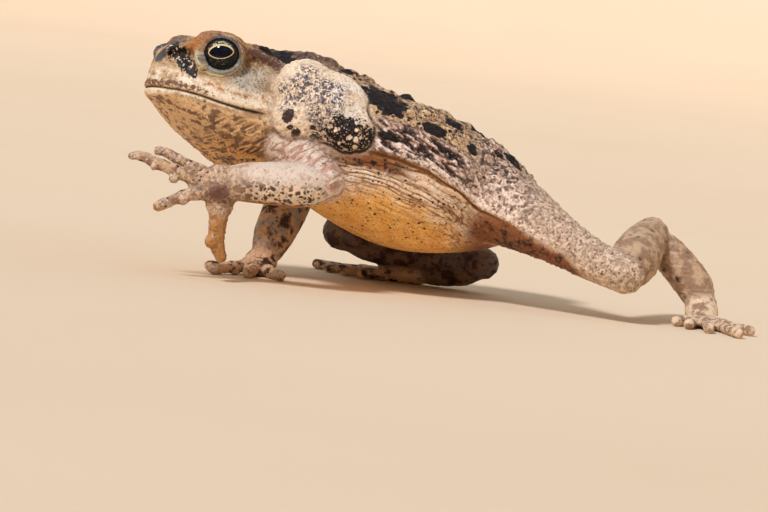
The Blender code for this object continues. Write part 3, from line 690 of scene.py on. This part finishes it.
gaze = np.array(EYE_GAZE) / np.linalg.norm(EYE_GAZE)
rearward = np.cross(gaze, (0.0, 0.0, 1.0))
rearward /= np.linalg.norm(rearward)
rearward *= np.sign(rearward[0])
from_eye = on_head - EYE_PLACE
eye_reach = np.linalg.norm(from_eye, axis=1)
ahead_of_eye = from_eye @ gaze
off_gaze = np.arccos(np.clip(ahead_of_eye / eye_reach, -1, 1))
sideways, upward = from_eye @ rearward, from_eye[:, 2]
slant = np.hypot(sideways, upward) + 1e-6
limit_long, limit_high = (math.asin(half / EYE_RADIUS) for half in (LID_LONG, LID_HIGH))
lid = off_gaze * np.hypot(sideways / slant / limit_long, upward / slant / limit_high)  # 1 at the lids' rim
under_eye = ease(-upward, -1.0, 3.0)
eye_side = face * (lid < 2.2)
socket = ((eye_reach < SNUG_REACH) | ((lid < 1.0) & (eye_reach < LID_REACH))).astype(float)
for _ in range(SOCKET_ROUNDS):
    socket = spread(socket, edges)
off_rim = np.interp(socket, *np.transpose(OFF_RIM))
relief += eye_side * (0.12 * bell(off_rim - 0.5, 0.4) - 0.22 * bell(off_rim - 1.35, 0.2) * under_eye)
relief += eye_side * 0.14 * bell(off_rim - 1.9, 0.35) * under_eye

nostril = blot(on_head, NOSTRIL, NOSTRIL_REACH)
relief += face * (0.35 * bell(nostril + 0.5, 0.45) - 1.5 * ease(nostril, -0.1, 0.7))
off_drum = np.linalg.norm(on_head - EARDRUM, axis=1) - EARDRUM_RADIUS
relief += head * (0.14 * bell(off_drum, 0.6) - 0.10 * bell(off_drum + 1.1, 0.5))

brow = head * bell(line_distance(on_head, BROW), 1.9)
eye_front = head * bell(line_distance(on_head, EYE_FRONT), 1.2)
eye_rear = head * bell(line_distance(on_head, EYE_REAR), 1.7)
snout_rim = head * bell(line_distance(on_head, SNOUT_RIM), 1.9)
relief += 0.30 * granules(on_head, 1.3, 41, np.clip(1.4 * (brow + eye_rear), 0, 1))
relief += 0.10 * granules(on_head, 1.15, 42, head * (1 - brow) * (lid > 1.25), seam=0.5)
relief += 0.14 * granules(on_head, 1.3, 43, jaw * ease(-gape, 1.8, 4.0), seam=0.5)
crown = head * ease(z, 14.0, 18.0) * (1 - brow)
relief += 0.2 * granules(on_head, 2.0, 44, crown)
fan = np.column_stack(((x - 0.9 * z) / 1.3, y / 2.5, (0.9 * x + z) / 7.0))  # from the mouth's corner
throat_waves = 1 - abs(drift(fan, 1.3, 45)) ** 0.6
creased = jaw * ease(x, 10, 26) * ease(-gape, 2.0, 6.0)
relief += creased * (0.55 * throat_waves - 0.3)

mark("face", face * (1 - ease(x + 1.2 * drift(on_head, 2.2, 49), 29.0, 34.0) * ease(z, 13.0, 16.5)))
mark("jaw_below", jaw * ease(-gape, 1.6, 2.6))
lip_depth = np.interp(x, [0, 7, 24], [2.4, 1.1, 0.9])
lower_lip = face * ease(-gape, 0.1, 0.5) * (1 - ease(-gape - lip_depth, -0.5, 0.4))
mark("lower_lip", lower_lip * (1 - ease(x, 20, 27)))
# The dark line of the mouth's seam, widened toward the rear as painted shade
mark("mouth", lipped * bell(gape, np.interp(x, [0, 18, 26], [0.26, 0.34, 0.55])))
mark("throat_low", jaw * ease(-gape + 0.25 * x, 12, 20))
mark("throat_line", creased * (1 - ease(throat_waves, 0.25, 0.5)))
mark("brow", np.clip(1.2 * brow, 0, 1))
mark("eye_front", eye_front)
mark("eye_rear", eye_rear)
mark("snout_rim", snout_rim)
lid_width = 0.55 * under_eye - 0.6 * ease(-sideways, 2.0, 5.0) + 0.15 * drift(on_head, 2.0, 48) - 0.2
mark("lid", face * ease(lid_width - off_rim, -0.15, 0.25))
mark("lid_rim", face * ease(lid_width - 0.35 - off_rim, -0.1, 0.2) * (0.2 + 0.8 * under_eye))
mark("lid_shade", face * bell(off_rim - lid_width - 0.1, 0.28))
mark("around_eye", face * ease(2.4 - off_rim, 0.0, 1.2) * under_eye)
dark_width = np.interp(z, [6.0, 9.0], [1.6, 2.5])
mark("before_eye", head * np.clip(1.55 - line_distance(on_head, DARK_BEFORE_EYE) / dark_width, 0, 1))
mark("behind_eye", head * np.clip(1.8 * blot(on_head, (25.5, 18.0, 13.0), (5.0, 5.0, 3.4)), 0, 1))
mark("cheek", head * np.clip(2.0 * blot(on_head, (25.0, 19.0, 7.2), (10.0, 7.0, 8.4)), 0, 1))
mark("upper_lip", head * between(gape, 0.2, 0.8, 5.0, 8.0))
mark("lip_edge", head * between(gape, 0.3, 0.8, 2.6, 4.0) * ease(x, 6, 14))
mark("lip_tan", head * bell(gape - 4.5 + 0.8 * drift(on_head, 5.0, 50), 0.6) * between(x, 7, 13, 24, 30))
mark("rust_lip", head * bell(gape - 1.6, 1.3) * (0.8 - 0.8 * ease(x, 8, 17)))
mark("nostril", face * ease(nostril, -0.2, 0.5))
mark("crown", crown)
mark("crown_front", crown * (1 - ease(x, 8, 15)))

coat(HEAD_CREAM, "face")
coat(HEAD_TAN, "face", clouded(3.0, 0.44, 0.62))
coat(HEAD_TAN, "face", clouded(1.0, 0.52, 0.66))
coat(CHEEK_OLIVE, "cheek", clouded(6.0, 0.25, 0.45))
coat(CHEEK_GREY, "cheek", clouded(4.0, 0.30, 0.56), dotted(0.65, 0.56, 0.3))
coat(LIP_WHITE, "upper_lip", clouded(3.0, 0.34, 0.60))
coat(BROW_ORANGE, "upper_lip", clouded(2.2, 0.58, 0.70))
coat(LIP_WHITE, "lip_edge", clouded(1.6, 0.25, 0.5))
coat(BROW_ORANGE, "lip_tan", clouded(1.2, 0.35, 0.65))
coat(LIP_RUST, torn("rust_lip", 1.3, 3.0, 0.3))
coat(THROAT_OCHRE, "jaw_below")
coat(THROAT_ORANGE, "throat_low")
coat(THROAT_BROWN, "jaw_below", clouded(2.6, 0.50, 0.60))
coat(THROAT_BROWN, "throat_line")
coat(THROAT_PALE, "jaw_below", lit_crest, clouded(2.0, 0.54, 0.74))
coat(SPOT_BLACK, "throat_low", dotted(1.7, 0.32, 0.15))
coat(LIP_WHITE, "lower_lip", clouded(2.0, 0.32, 0.55))
coat(SNOUT_SLATE, "crown_front", clouded(2.2, 0.28, 0.5))
coat(SNOUT_SLATE, torn("snout_rim", 1.6, 1.0, 0.25))
coat(BROW_RED, "crown", clouded(3.0, 0.45, 0.62))
coat(HEAD_TAN, "eye_front")
coat(RIDGE_BROWN, torn("eye_rear", 1.2, 2.4, 0.35))
coat(SPOT_BLACK, "behind_eye", clouded(1.7, 0.50, 0.58))
coat(BROW_ORANGE, "brow")
coat(SPOT_BLACK, "brow", clouded(1.4, 0.57, 0.66))
coat(PATCH_BLACK, torn("before_eye", 1.3, 2.4, 0.15))
coat(LIP_WHITE, "before_eye", clouded(1.0, 0.57, 0.62))
coat(LID_OLIVE, "around_eye", clouded(2.0, 0.25, 0.55))
coat(SNOUT_SLATE, "lid_shade")
coat(LID_BLUE, "lid")
coat(LID_WHITE, "lid_rim", clouded(1.4, 0.3, 0.6))
# Painted shade along the mouth's seam, and the dark nostril
coat(MOUTH_DARK, "mouth")
coat(MOUTH_DARK, "nostril")

# The parotoid glands: a swollen cushion of poison glands behind each ear, closely grained and
# pitted with pores. Part of the cast skin, stippled slate over cream, with dark blots below and
# a painted shadow along the lower rim.

GLAND_CREAM, GLAND_SLATE = screen(250, 226, 196), screen(98, 92, 102)
GLAND_TAN, GLAND_WHITE, GLAND_SPOT = screen(196, 164, 140), screen(255, 242, 226), screen(60, 44, 42)
GLAND_SPOTS = [((0.6, 27.6, -5.4), (1.7, 3.0, 2.6)), ((5.0, 27.2, -8.8), (1.4, 3.0, 1.7)),
               ((11.8, 26.6, -8.4), (2.4, 3.0, 1.3)), ((9.4, 28.2, -5.6), (1.1, 3.0, 0.8)),
               ((2.6, 28.0, -8.2), (1.0, 3.0, 0.9))]
x, y, z = on_trunk.T
relief += 0.26 * granules(on_trunk, 2.2, 51, gland, seam=0.6)
relief += 0.14 * gland * drift(on_trunk, 1.2, 52)
relief += 0.13 * granules(on_trunk, 1.1, 56, gland, seam=0.5)
relief -= 0.55 * bell(gland - 0.42, 0.16) * ease(trunk, 0.15, 0.4)
porous = np.flatnonzero(gland > 0.1)
pores, _, pore_number = pebbles(on_trunk[porous], 2.6, 53)
relief[porous] -= 0.45 * gland[porous] * bell(pores, 0.17) * (pore_number > 0.4)
gland_spot = np.max([blot(on_trunk, centre, reach) for centre, reach in GLAND_SPOTS], axis=0)
waver = 0.25 * drift(on_trunk, 3.0, 55)
slate = ease(blot(on_trunk, (6.0, 30.0, 2.5), (13.5, 12.0, 12.0)) + waver, -0.1, 0.3)
mark("gland", gland)
mark("gland_slate", gland * slate * (1 - ease(-z + 4.0 * waver, 3.5, 6.0)))
mark("gland_dark", gland * ease(blot(on_trunk, (20.5, 28.5, -4.2), (11.5, 9.0, 6.2)) + waver, -0.25, 0.45))
mark("gland_pale", gland * ease(blot(on_trunk, (17.5, 29.0, 6.0), (7.0, 10.0, 11.0)) + waver, -0.1, 0.3))
mark("gland_spot", gland * ease(gland_spot + 0.3 * drift(on_trunk, 1.5, 54), -0.3, 0.3))
# A painted shadow in the crease along the lower rim of the gland
gland_rim = bell(gland - 0.45, 0.2) * ease(trunk + areas["upper_arm"], 0.1, 0.4)
mark("gland_rim_shadow", gland_rim * ease(-z, -9.0, -3.0))

coat(GLAND_CREAM, "gland")
coat(GLAND_TAN, "gland", clouded(2.2, 0.58, 0.72))
coat(GLAND_TAN, "gland_pale", clouded(3.6, 0.50, 0.66))
coat(GLAND_WHITE, "gland_pale", clouded(3.4, 0.38, 0.50))
coat(CREASE_ORANGE, "gland_pale", clouded(2.4, 0.62, 0.85))
coat(GLAND_SLATE, "gland_slate", clouded(3.5, 0.30, 0.50), dotted(0.75, 0.80, 0.3))
coat(GLAND_CREAM, "gland_slate", dotted(2.3, 0.26, 0.1))
coat(PATCH_BLACK, torn("gland_dark", 0.8, 2.6, 0.2))
coat(GLAND_TAN, "gland_dark", dotted(0.9, 0.36, 0.15))
coat(GLAND_CREAM, "gland_dark", dotted(2.1, 0.38, 0.15))
coat(GLAND_SPOT, torn("gland_spot", 0.7, 2.2, 0.3))
# Painted shadow along the gland's lower rim
coat(PATCH_BLACK, "gland_rim_shadow", clouded(4.0, 0.25, 0.5))

# Black patches on the nape and the back, each a little raised. Part of the cast skin, painted over
# the other colours. Each is a place in the trunk's axes, then its reach along, out and up.

PATCHES = [((28.8, 21.5, 11.6), (8.6, 7.8, 5.8)), ((14.6, 12.3, 17.4), (2.4, 3.0, 2.4)),
           ((15.6, 25.8, 13.0), (1.1, 1.8, 1.7)), ((-8.0, 5.6, 14.6), (7.4, 7.0, 4.4)),
           ((46.4, 26.0, 8.2), (4.8, 3.2, 2.4)), ((52.6, 17.7, 13.7), (2.8, 3.6, 3.6)),
           ((60.6, 23.6, 7.4), (2.2, 2.4, 2.8)), ((76.6, 11.8, 10.6), (3.6, 3.4, 3.6)),
           ((66.0, 21.6, 4.4), (1.8, 2.0, 2.4)), ((37.0, 8.0, 17.6), (3.4, 2.6, 2.6)),
           ((62.0, 7.5, 15.0), (3.0, 2.4, 2.6)), ((33.0, 28.6, 0.4), (3.4, 3.0, 1.2)),
           ((48.0, 3.0, 18.0), (2.6, 2.2, 2.4)), ((70.0, 16.0, 9.0), (2.2, 2.0, 2.4)),
           ((3.0, 3.0, 18.0), (3.0, 2.6, 2.4))]
PATCH_SHIFT = 2.4  # the right side's patches sit a little further back
patch = np.full(len(points), -9.0)
for centre, radii in PATCHES:
    shifted = on_trunk - np.column_stack((right_side * PATCH_SHIFT, np.zeros((len(points), 2))))
    patch = np.maximum(patch, blot(shifted, centre, radii))
patch = patch + 0.30 * drift(on_trunk, 2.6, 31) + 0.15 * drift(on_trunk, 1.2, 32)
on_back = (trunk + head) * (1 - ease(gland, 0.3, 0.6))
relief += 0.25 * ease(patch, 0.0, 0.4) * on_back
mark("patch", ease(patch, -0.3, 0.3) * on_back)

coat(PATCH_BLACK, torn("patch", 1.0, 0.35, 0.08))
coat(BROW_RED, "patch", lit_crest, clouded(1.4, 0.62, 0.82))

# Arms and legs: loose hide, finely grained, with dark spots underneath the near limbs and bold
# brown blotches on the far ones, which are painted darker, partly as painted shade. Part of the
# cast skin.

LIMB_PALE, LIMB_GREY, LIMB_TAUPE = screen(224, 204, 186), screen(200, 168, 136), screen(160, 128, 102)
LIMB_ROSE, BLOTCH_BROWN, FOREARM_DARK = screen(190, 146, 124), screen(56, 38, 33), screen(82, 70, 62)
FAR_TAN, FAR_GREY, FAR_DARK_AND_SHADE = screen(206, 166, 130), screen(166, 156, 148), screen(66, 38, 30)
upper_arm, forearm, hand = areas["upper_arm"], areas["forearm"], areas["hand"]
shank, foot, far_limb = areas["shank"], areas["foot"], areas["far_limb"]
limbs = np.clip(upper_arm + forearm + thigh + shank, 0, 1)
relief += 0.09 * granules(points, 1.4, 61, limbs, seam=0.6)
x, y, z = points.T
across_arm = np.column_stack(((x - 1.2 * z) / 1.65, y / 3.0, (1.2 * x + z) / 7.0))
arm_waves = abs(drift(across_arm, 1.1, 63)) ** 0.5
relief += upper_arm * (0.36 * arm_waves - 0.22)
leg_waves = 1 - abs(drift(points * (0.5, 0.9, 1.4), 1.9, 64)) ** 0.7
relief += shank * (0.32 * leg_waves - 0.2)

forearm_low, forearm_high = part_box("forearm_left")
underside = (forearm_high.z / MM - z) / ((forearm_high.z - forearm_low.z) / MM)
mark("arms", np.clip(upper_arm + forearm, 0, 1))
mark("upper_arm", upper_arm * (1 - far_limb))
mark("arm_crease", upper_arm * (1 - ease(arm_waves, 0.25, 0.6)))
mark("forearm_under", forearm * ease(underside, 0.36, 0.64) * (1 - far_limb))
elbow = 1 - ease(forearm_high.x / MM - x, 2.0, 7.0)
mark("forearm_spots", forearm * np.maximum(ease(underside, 0.20, 0.5), elbow) * (1 - far_limb))
mark("forearm_edge", forearm * ease(underside, 0.86, 1.0) * (1 - far_limb))
mark("legs", np.clip(shank, 0, 1))
mark("far", far_limb)
mark("far_leg_dark_and_shade", 0.72 * far_limb * np.clip(thigh + shank, 0, 1))

coat(LIMB_PALE, "arms")
coat(LIMB_ROSE, "arms", clouded(2.6, 0.54, 0.72))
coat(LIMB_ROSE, "arm_crease")
coat(LIMB_ROSE, "upper_arm", clouded(2.0, 0.50, 0.72))
coat(BROW_RED, "upper_arm", dotted(1.1, 0.34, 0.2), clouded(4.0, 0.40, 0.55))
coat(FLANK_CREAM, "forearm_under", clouded(3.0, 0.40, 0.6))
coat(FOREARM_DARK, "forearm_spots", dotted(1.5, 0.26, 0.15))
coat(FOREARM_DARK, "forearm_under", dotted(2.0, 0.52, 0.15))
coat(FOREARM_DARK, "forearm_under", dotted(1.3, 0.48, 0.2))
coat(CREASE_ORANGE, "forearm_edge")
coat(LIMB_TAUPE, "legs")
coat(LIMB_GREY, "legs", clouded(4.0, 0.42, 0.58))
coat(BLOTCH_BROWN, "legs", dotted(4.4, 0.30, 0.3))
# The far arm and leg: darker paint, partly their own brown and partly painted shade, the leg darkest
coat(FAR_TAN, "far")
coat(FAR_GREY, "far", clouded(6.0, 0.45, 0.57))
coat(BLOTCH_BROWN, "far", clouded(5.0, 0.46, 0.60))
coat(BLOTCH_BROWN, "far", dotted(2.4, 0.26, 0.2))
coat(FAR_DARK_AND_SHADE, "far_leg_dark_and_shade")

# Hands and feet: padded palms and knuckles, blunt tips with no claws, and a low web between the
# toes of the hind feet. Part of the cast skin.

HAND_TAN, HAND_GREY, PALM_MAROON = screen(208, 172, 138), screen(150, 118, 94), screen(112, 74, 62)
FOOT_PALE, THUMB_GOLD = screen(234, 206, 174), screen(184, 130, 74)
PALM_OFFSET, PALM_REACH = (-5.2, 2.4, 22.4), (7.2, 6.0, 4.8)  # from the hand's rear, outer and lower sides
relief += 0.26 * granules(points, 1.7, 71, hand, share=0.6, seam=0.6)
relief += 0.16 * hand * drift(points, 1.0, 72)
relief += 0.12 * granules(points, 0.9, 74, hand, seam=0.5)
relief += 0.14 * granules(points, 1.8, 73, foot, seam=0.6)
hand_low, hand_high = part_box("hand_left")
palm_place = np.array([hand_high.x, hand_low.y, hand_low.z]) / MM + PALM_OFFSET
far_side = ease(within(TRUNK, points)[:, 1], 0.0, 6.0)
from_wrist = x - hand_high.x / MM
wrist = forearm * (1 - far_limb) * (1 - ease(from_wrist, -2.0, 9.0))
mark("hand", hand * (1 - 0.5 * bell(from_wrist, 4.0)) + 0.5 * wrist)
mark("foot", foot)
mark("far_foot", (foot + hand) * far_side)
thumb = ease(hand_high.y / MM + 2.0 - y, 0.0, 2.0) * ease(hand_low.z / MM + 17.0 - z, 0.0, 4.0)
mark("thumb", hand * thumb)
mark("palm", hand * np.clip(1.3 * blot(points, palm_place, PALM_REACH), 0, 1))

coat(HAND_TAN, "hand")
coat(HAND_GREY, "hand", clouded(2.6, 0.44, 0.58))
coat(CREASE_ORANGE, "hand", clouded(2.4, 0.54, 0.72))
coat(LIMB_PALE, "hand", lit_crest, clouded(2.4, 0.40, 0.60))
coat(THUMB_GOLD, "thumb", clouded(1.6, 0.25, 0.5))
coat(BLOTCH_BROWN, "hand", dotted(2.0, 0.30, 0.2))
coat(PALM_MAROON, torn("palm", 1.2, 1.6, 0.45))
coat(FOOT_PALE, "foot")
coat(LIMB_TAUPE, "foot", clouded(3.4, 0.45, 0.6))
# The far hand and foot take the far limbs' darker paint, partly painted shade
coat(FAR_TAN, "far_foot")
coat(BLOTCH_BROWN, "far_foot", clouded(3.0, 0.46, 0.62))

# The skin's finish: it is given its relief, drawn snug round the eyes and kept inside the frame's
# own box. Painted shade darkens its hollows, its crests are marked for the painted highlight laid
# on them above, and a fine grain breaks the shine.

CREASE_DEPTH = 0.05  # a hollow this deep is fully dark
# How strong the painted shade is in the deepest hollows, and how strong the fine dark clouds are
CREASE_SHADE_SHARE, CLOUD_WASH = 0.5, 0.3
GRAIN_SPACING, GRAIN_DEPTH, GRAIN_STRENGTH = 0.35, 0.08, 0.5
SHINIEST, DULLEST = 0.46, 0.72


def eye_middle(side):
    """Where the left eyeball, side -1, or the right one, side 1, has its middle on the model."""
    return np.array(HEAD @ Vector((EYE_PLACE[0], EYE_PLACE[1] * side, EYE_PLACE[2])))


points += normals * relief[:, None]
for side in (-1, 1):
    centre = eye_middle(side)
    arm = points - centre
    reach = np.linalg.norm(arm, axis=1)
    opening = (lid < 1.0) & (reach < LID_REACH)
    near = (reach < SNUG_REACH) | opening
    points[near] = centre + arm[near] * (SNUG_RADIUS / reach[near])[:, None]
points = np.clip(points, np.array(cad_low) / MM, np.array(cad_high) / MM)
move_to(skin.data, points)
normals = outward(skin.data)
# How deep each point lies below its neighbours: hollows get painted shade, crests the painted highlight
hollow = ((spread(spread(points, edges), edges) - points) * normals).sum(axis=1) / CREASE_DEPTH
mark("crease", np.clip(hollow, 0, 1))
mark("crest_highlight", np.clip(-hollow, 0, 1))
skin.data.shade_smooth()

# Painted shade in the hollows, then fine dark clouds over all the skin
coat(SHADE_AND_SPECKLE_BROWN, worked(skin_tree, "MULTIPLY", masked("crease"), CREASE_SHADE_SHARE))
coat(SHADE_AND_SPECKLE_BROWN, worked(skin_tree, "MULTIPLY", clouded(0.9, 0.52, 0.72), CLOUD_WASH))

grain_place = counted(skin_tree, on_model(skin_tree), GRAIN_SPACING)
grain = noise_at(skin_tree, grain_place, 2.0)
bump_inputs = {"Strength": GRAIN_STRENGTH, "Distance": GRAIN_DEPTH * MM, "Height": grain.outputs["Fac"]}
bump = added(skin_tree, "ShaderNodeBump", bump_inputs)
shine_inputs = {"Value": clouded(2.0, 0.3, 0.7), "To Min": SHINIEST, "To Max": DULLEST}
shine = added(skin_tree, "ShaderNodeMapRange", shine_inputs)
skin_tree.links.new(bump.outputs["Normal"], shader.inputs["Normal"])
skin_tree.links.new(surface, shader.inputs["Base Color"])
skin_tree.links.new(shine.outputs["Result"], shader.inputs["Roughness"])
shader.inputs["Specular IOR Level"].default_value = 0.28
skin.data.materials.clear()
skin.data.materials.append(paint)

# The eyes: glass balls with a black iris stippled in silver and gold, and a level lens-shaped
# pupil rimmed in pale gold. Each is let into its socket from behind.

PUPIL_LONG, PUPIL_HIGH, PUPIL_RISE, PUPIL_FORWARD = 3.8, 1.95, 0.3, -0.1
IRIS_LONG, IRIS_HIGH = 5.3, 4.75
PUPIL_LEVEL = (1.0, 0.0, 0.14)  # the pupils lie level however the head is held
PUPIL_EDGE = (0.98, 1.02)
RIM_EDGE, RIM_SWELL, RIM_SOFTNESS = 1.12, 0.3, 0.1  # the gold rim is broader above the pupil
SILVER_STRENGTH = 0.7
CORNEA_RISE = 0.25
EYE_STEPS = 128
IRIS_BLACK, IRIS_GOLD, IRIS_SILVER = screen(8, 8, 14), screen(238, 224, 190), screen(150, 146, 138)
PUPIL_BLUE, PUPIL_RIM = screen(8, 12, 26), screen(224, 204, 150)

glass, tree, eye_shader = new_finish("painted glass eye")
pupil, above = masked("pupil", tree), masked("above", tree)
stipple = use(tree, spots, Spacing=0.42, Size=0.50, Softness=0.2)
fine = use(tree, mottle, Spacing=0.55, Low=0.46, High=0.60)
gold_share = worked(tree, "MULTIPLY", stepped(tree, above, 0.15, 0.6), fine)
inner_iris = masked("inner_iris", tree)
fine_inside = worked(tree, "MULTIPLY", fine, inner_iris)
silver_share = worked(tree, "MULTIPLY", worked(tree, "MULTIPLY", stipple, SILVER_STRENGTH), fine_inside)
look = mixed(tree, IRIS_BLACK, IRIS_SILVER, silver_share)
look = mixed(tree, look, IRIS_GOLD, worked(tree, "MULTIPLY", gold_share, inner_iris))
rim_start = worked(tree, "MULTIPLY_ADD", above, RIM_SWELL, RIM_EDGE)
rim_end = worked(tree, "ADD", rim_start, RIM_SOFTNESS)
look = mixed(tree, look, PUPIL_RIM, faded(tree, pupil, rim_start, rim_end))
look = mixed(tree, look, PUPIL_BLUE, faded(tree, pupil, *PUPIL_EDGE))
tree.links.new(look, eye_shader.inputs["Base Color"])
eye_shader.inputs["Roughness"].default_value = 0.25
eye_shader.inputs["Specular IOR Level"].default_value = 0.0
eye_shader.inputs["Coat Weight"].default_value = 1.0
eye_shader.inputs["Coat IOR"].default_value = 1.3
eye_shader.inputs["Coat Roughness"].default_value = 0.02

for node_name, side in (("eye_left", -1), ("eye_right", 1)):
    direction = (HEAD.to_3x3() @ Vector((EYE_GAZE[0], EYE_GAZE[1] * side, EYE_GAZE[2]))).normalized()
    lengthways = Vector(PUPIL_LEVEL)
    lengthways = (lengthways - direction * lengthways.dot(direction)).normalized()
    upwards = direction.cross(lengthways) * (-side)
    upwards *= math.copysign(1.0, upwards.z)
    ball = bmesh.new()
    bmesh.ops.create_uvsphere(ball, u_segments=EYE_STEPS, v_segments=EYE_STEPS, radius=EYE_RADIUS)
    turn = Matrix((lengthways, direction.cross(lengthways), direction)).transposed()
    bmesh.ops.rotate(ball, matrix=turn, verts=ball.verts)
    mesh = meshed(node_name.replace("eye_", "eyeball_"), ball)
    local = np.array([vert.co for vert in mesh.vertices])
    forward, across, rise = (local @ np.array(axis) for axis in (direction, lengthways, upwards))
    bulge = 1 + CORNEA_RISE / EYE_RADIUS * ease(forward / EYE_RADIUS, 0.55, 1.0)
    move_to(mesh, local * bulge[:, None] + eye_middle(side))
    pupil_field = ((across + PUPIL_FORWARD) / PUPIL_LONG) ** 2 + abs((rise - PUPIL_RISE) / PUPIL_HIGH) ** 1.5
    iris_field = np.hypot(across / IRIS_LONG, rise / IRIS_HIGH)
    keep_mask(mesh, "pupil", pupil_field + 9.0 * (forward < 0))
    keep_mask(mesh, "above", ease(rise - PUPIL_RISE, 0.0, 2.0))
    keep_mask(mesh, "inner_iris", 1 - ease(iris_field, 0.62, 0.92))
    eyeball = shown(mesh.name, mesh)
    mesh.shade_smooth()
    mesh.materials.append(glass)
    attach(eyeball, "root")
    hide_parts(node_name)

# The studio: a seamless pale floor that curves up all round, turned from one profile and painted
# matt, with soft light from above, on the camera's side.

FLOOR_REACH, WALL_REACH, WALL_HEIGHT = 2.8, 3.8, 2.6
PROFILE_STEPS, TURN_STEPS = 16, 96
CARD_PALE, CARD_WARM = screen(233, 212, 184), screen(231, 209, 180)
CARD_CLOUDS = 400.0
AIR_TONE, AIR_STRENGTH = screen(238, 246, 255), 0.46
LAMPS = {  # where the light comes from, its strength, its breadth in degrees and its colour
    "key": ((-0.9, -1.4, 1.8), 2.45, 10.0, screen(250, 250, 255)),
    "fill": ((0.7, -1.9, 0.5), 0.75, 50.0, screen(245, 248, 255)),
}
profile = [(0.0, 0.0), (FLOOR_REACH, 0.0)]
bend = WALL_REACH - FLOOR_REACH
for step in range(1, PROFILE_STEPS + 1):
    angle = math.pi / 2 * step / PROFILE_STEPS
    profile.append((FLOOR_REACH + bend * math.sin(angle), bend * (1 - math.cos(angle))))
profile.append((WALL_REACH, WALL_HEIGHT))
bowl = bmesh.new()
rings = []
for radius, height in profile[1:]:
    ring = []
    for step in range(TURN_STEPS):
        angle = 2 * math.pi * step / TURN_STEPS
        ring.append(bowl.verts.new((radius * math.cos(angle), radius * math.sin(angle), height + cad_low.z)))
    rings.append(ring)
bowl.faces.new(rings[0])
for inner_ring, outer_ring in zip(rings, rings[1:]):
    for i in range(TURN_STEPS):
        j = (i + 1) % TURN_STEPS
        bowl.faces.new((inner_ring[i], outer_ring[i], outer_ring[j], inner_ring[j]))
mesh = meshed("studio_floor", bowl)
mesh.shade_smooth()
studio_floor = shown("studio_floor", mesh)
card, card_tree, card_shader = new_finish("pale backdrop")
card_clouds = use(card_tree, mottle, Spacing=CARD_CLOUDS, Low=0.3, High=0.7)
card_tone = mixed(card_tree, CARD_PALE, CARD_WARM, card_clouds)
card_tree.links.new(card_tone, card_shader.inputs["Base Color"])
card_shader.inputs["Roughness"].default_value = 0.9
mesh.materials.append(card)

bpy.context.scene.view_settings.view_transform = "Standard"
world = bpy.data.worlds.new("studio air")
bpy.context.scene.world = world
world.use_nodes = True
air = world.node_tree.nodes["Background"]
air.inputs["Color"].default_value = AIR_TONE
air.inputs["Strength"].default_value = AIR_STRENGTH
for label, (place, strength, breadth, colour) in LAMPS.items():
    light = bpy.data.lights.new(label, "SUN")
    light.energy = strength
    light.angle = math.radians(breadth)
    light.color = colour[:3]
    lamp = shown(label, light)
    lamp.location = place
    lamp.rotation_mode = "QUATERNION"
    lamp.rotation_quaternion = (-Vector(place)).to_track_quat("-Z", "Y")

# The camera: a long lens a little above the toad's flank, rolled as the photograph is. It is placed
# from one point of the flank and the pixel where that point shows.

CAMERA_DISTANCE, CAMERA_ROLL, CAMERA_RISE = 1500.0, 6.0, 4.0
MM_PER_PIXEL = 0.327
PICTURE_WIDE, PICTURE_HIGH = 768, 512
SENSOR = 36.0
FLANK_PIXEL = (430, 295)
FLANK_FROM_SNOUT = Vector((96.6, 19.0, -58.6))
flank_point = snout_tip + FLANK_FROM_SNOUT
rise, roll = math.radians(CAMERA_RISE), math.radians(CAMERA_ROLL)
looking = Vector((0, math.cos(rise), -math.sin(rise)))
level_up = Vector((0, math.sin(rise), math.cos(rise)))
level_right = Vector((1, 0, 0))
right = level_right * math.cos(roll) + level_up * math.sin(roll)
up = level_up * math.cos(roll) - level_right * math.sin(roll)
off_middle = right * (FLANK_PIXEL[0] - PICTURE_WIDE / 2) + up * (PICTURE_HIGH / 2 - FLANK_PIXEL[1])
target = flank_point - off_middle * MM_PER_PIXEL
pose = Matrix((right, up, -looking)).transposed().to_4x4()
pose.translation = (target - looking * CAMERA_DISTANCE) * MM
lens = bpy.data.cameras.new("camera")
lens.sensor_width = SENSOR
lens.lens = SENSOR * CAMERA_DISTANCE / (PICTURE_WIDE * MM_PER_PIXEL)
lens.clip_start, lens.clip_end = 0.05, 20.0
camera = shown("camera", lens)
camera.matrix_world = pose
bpy.context.scene.camera = camera
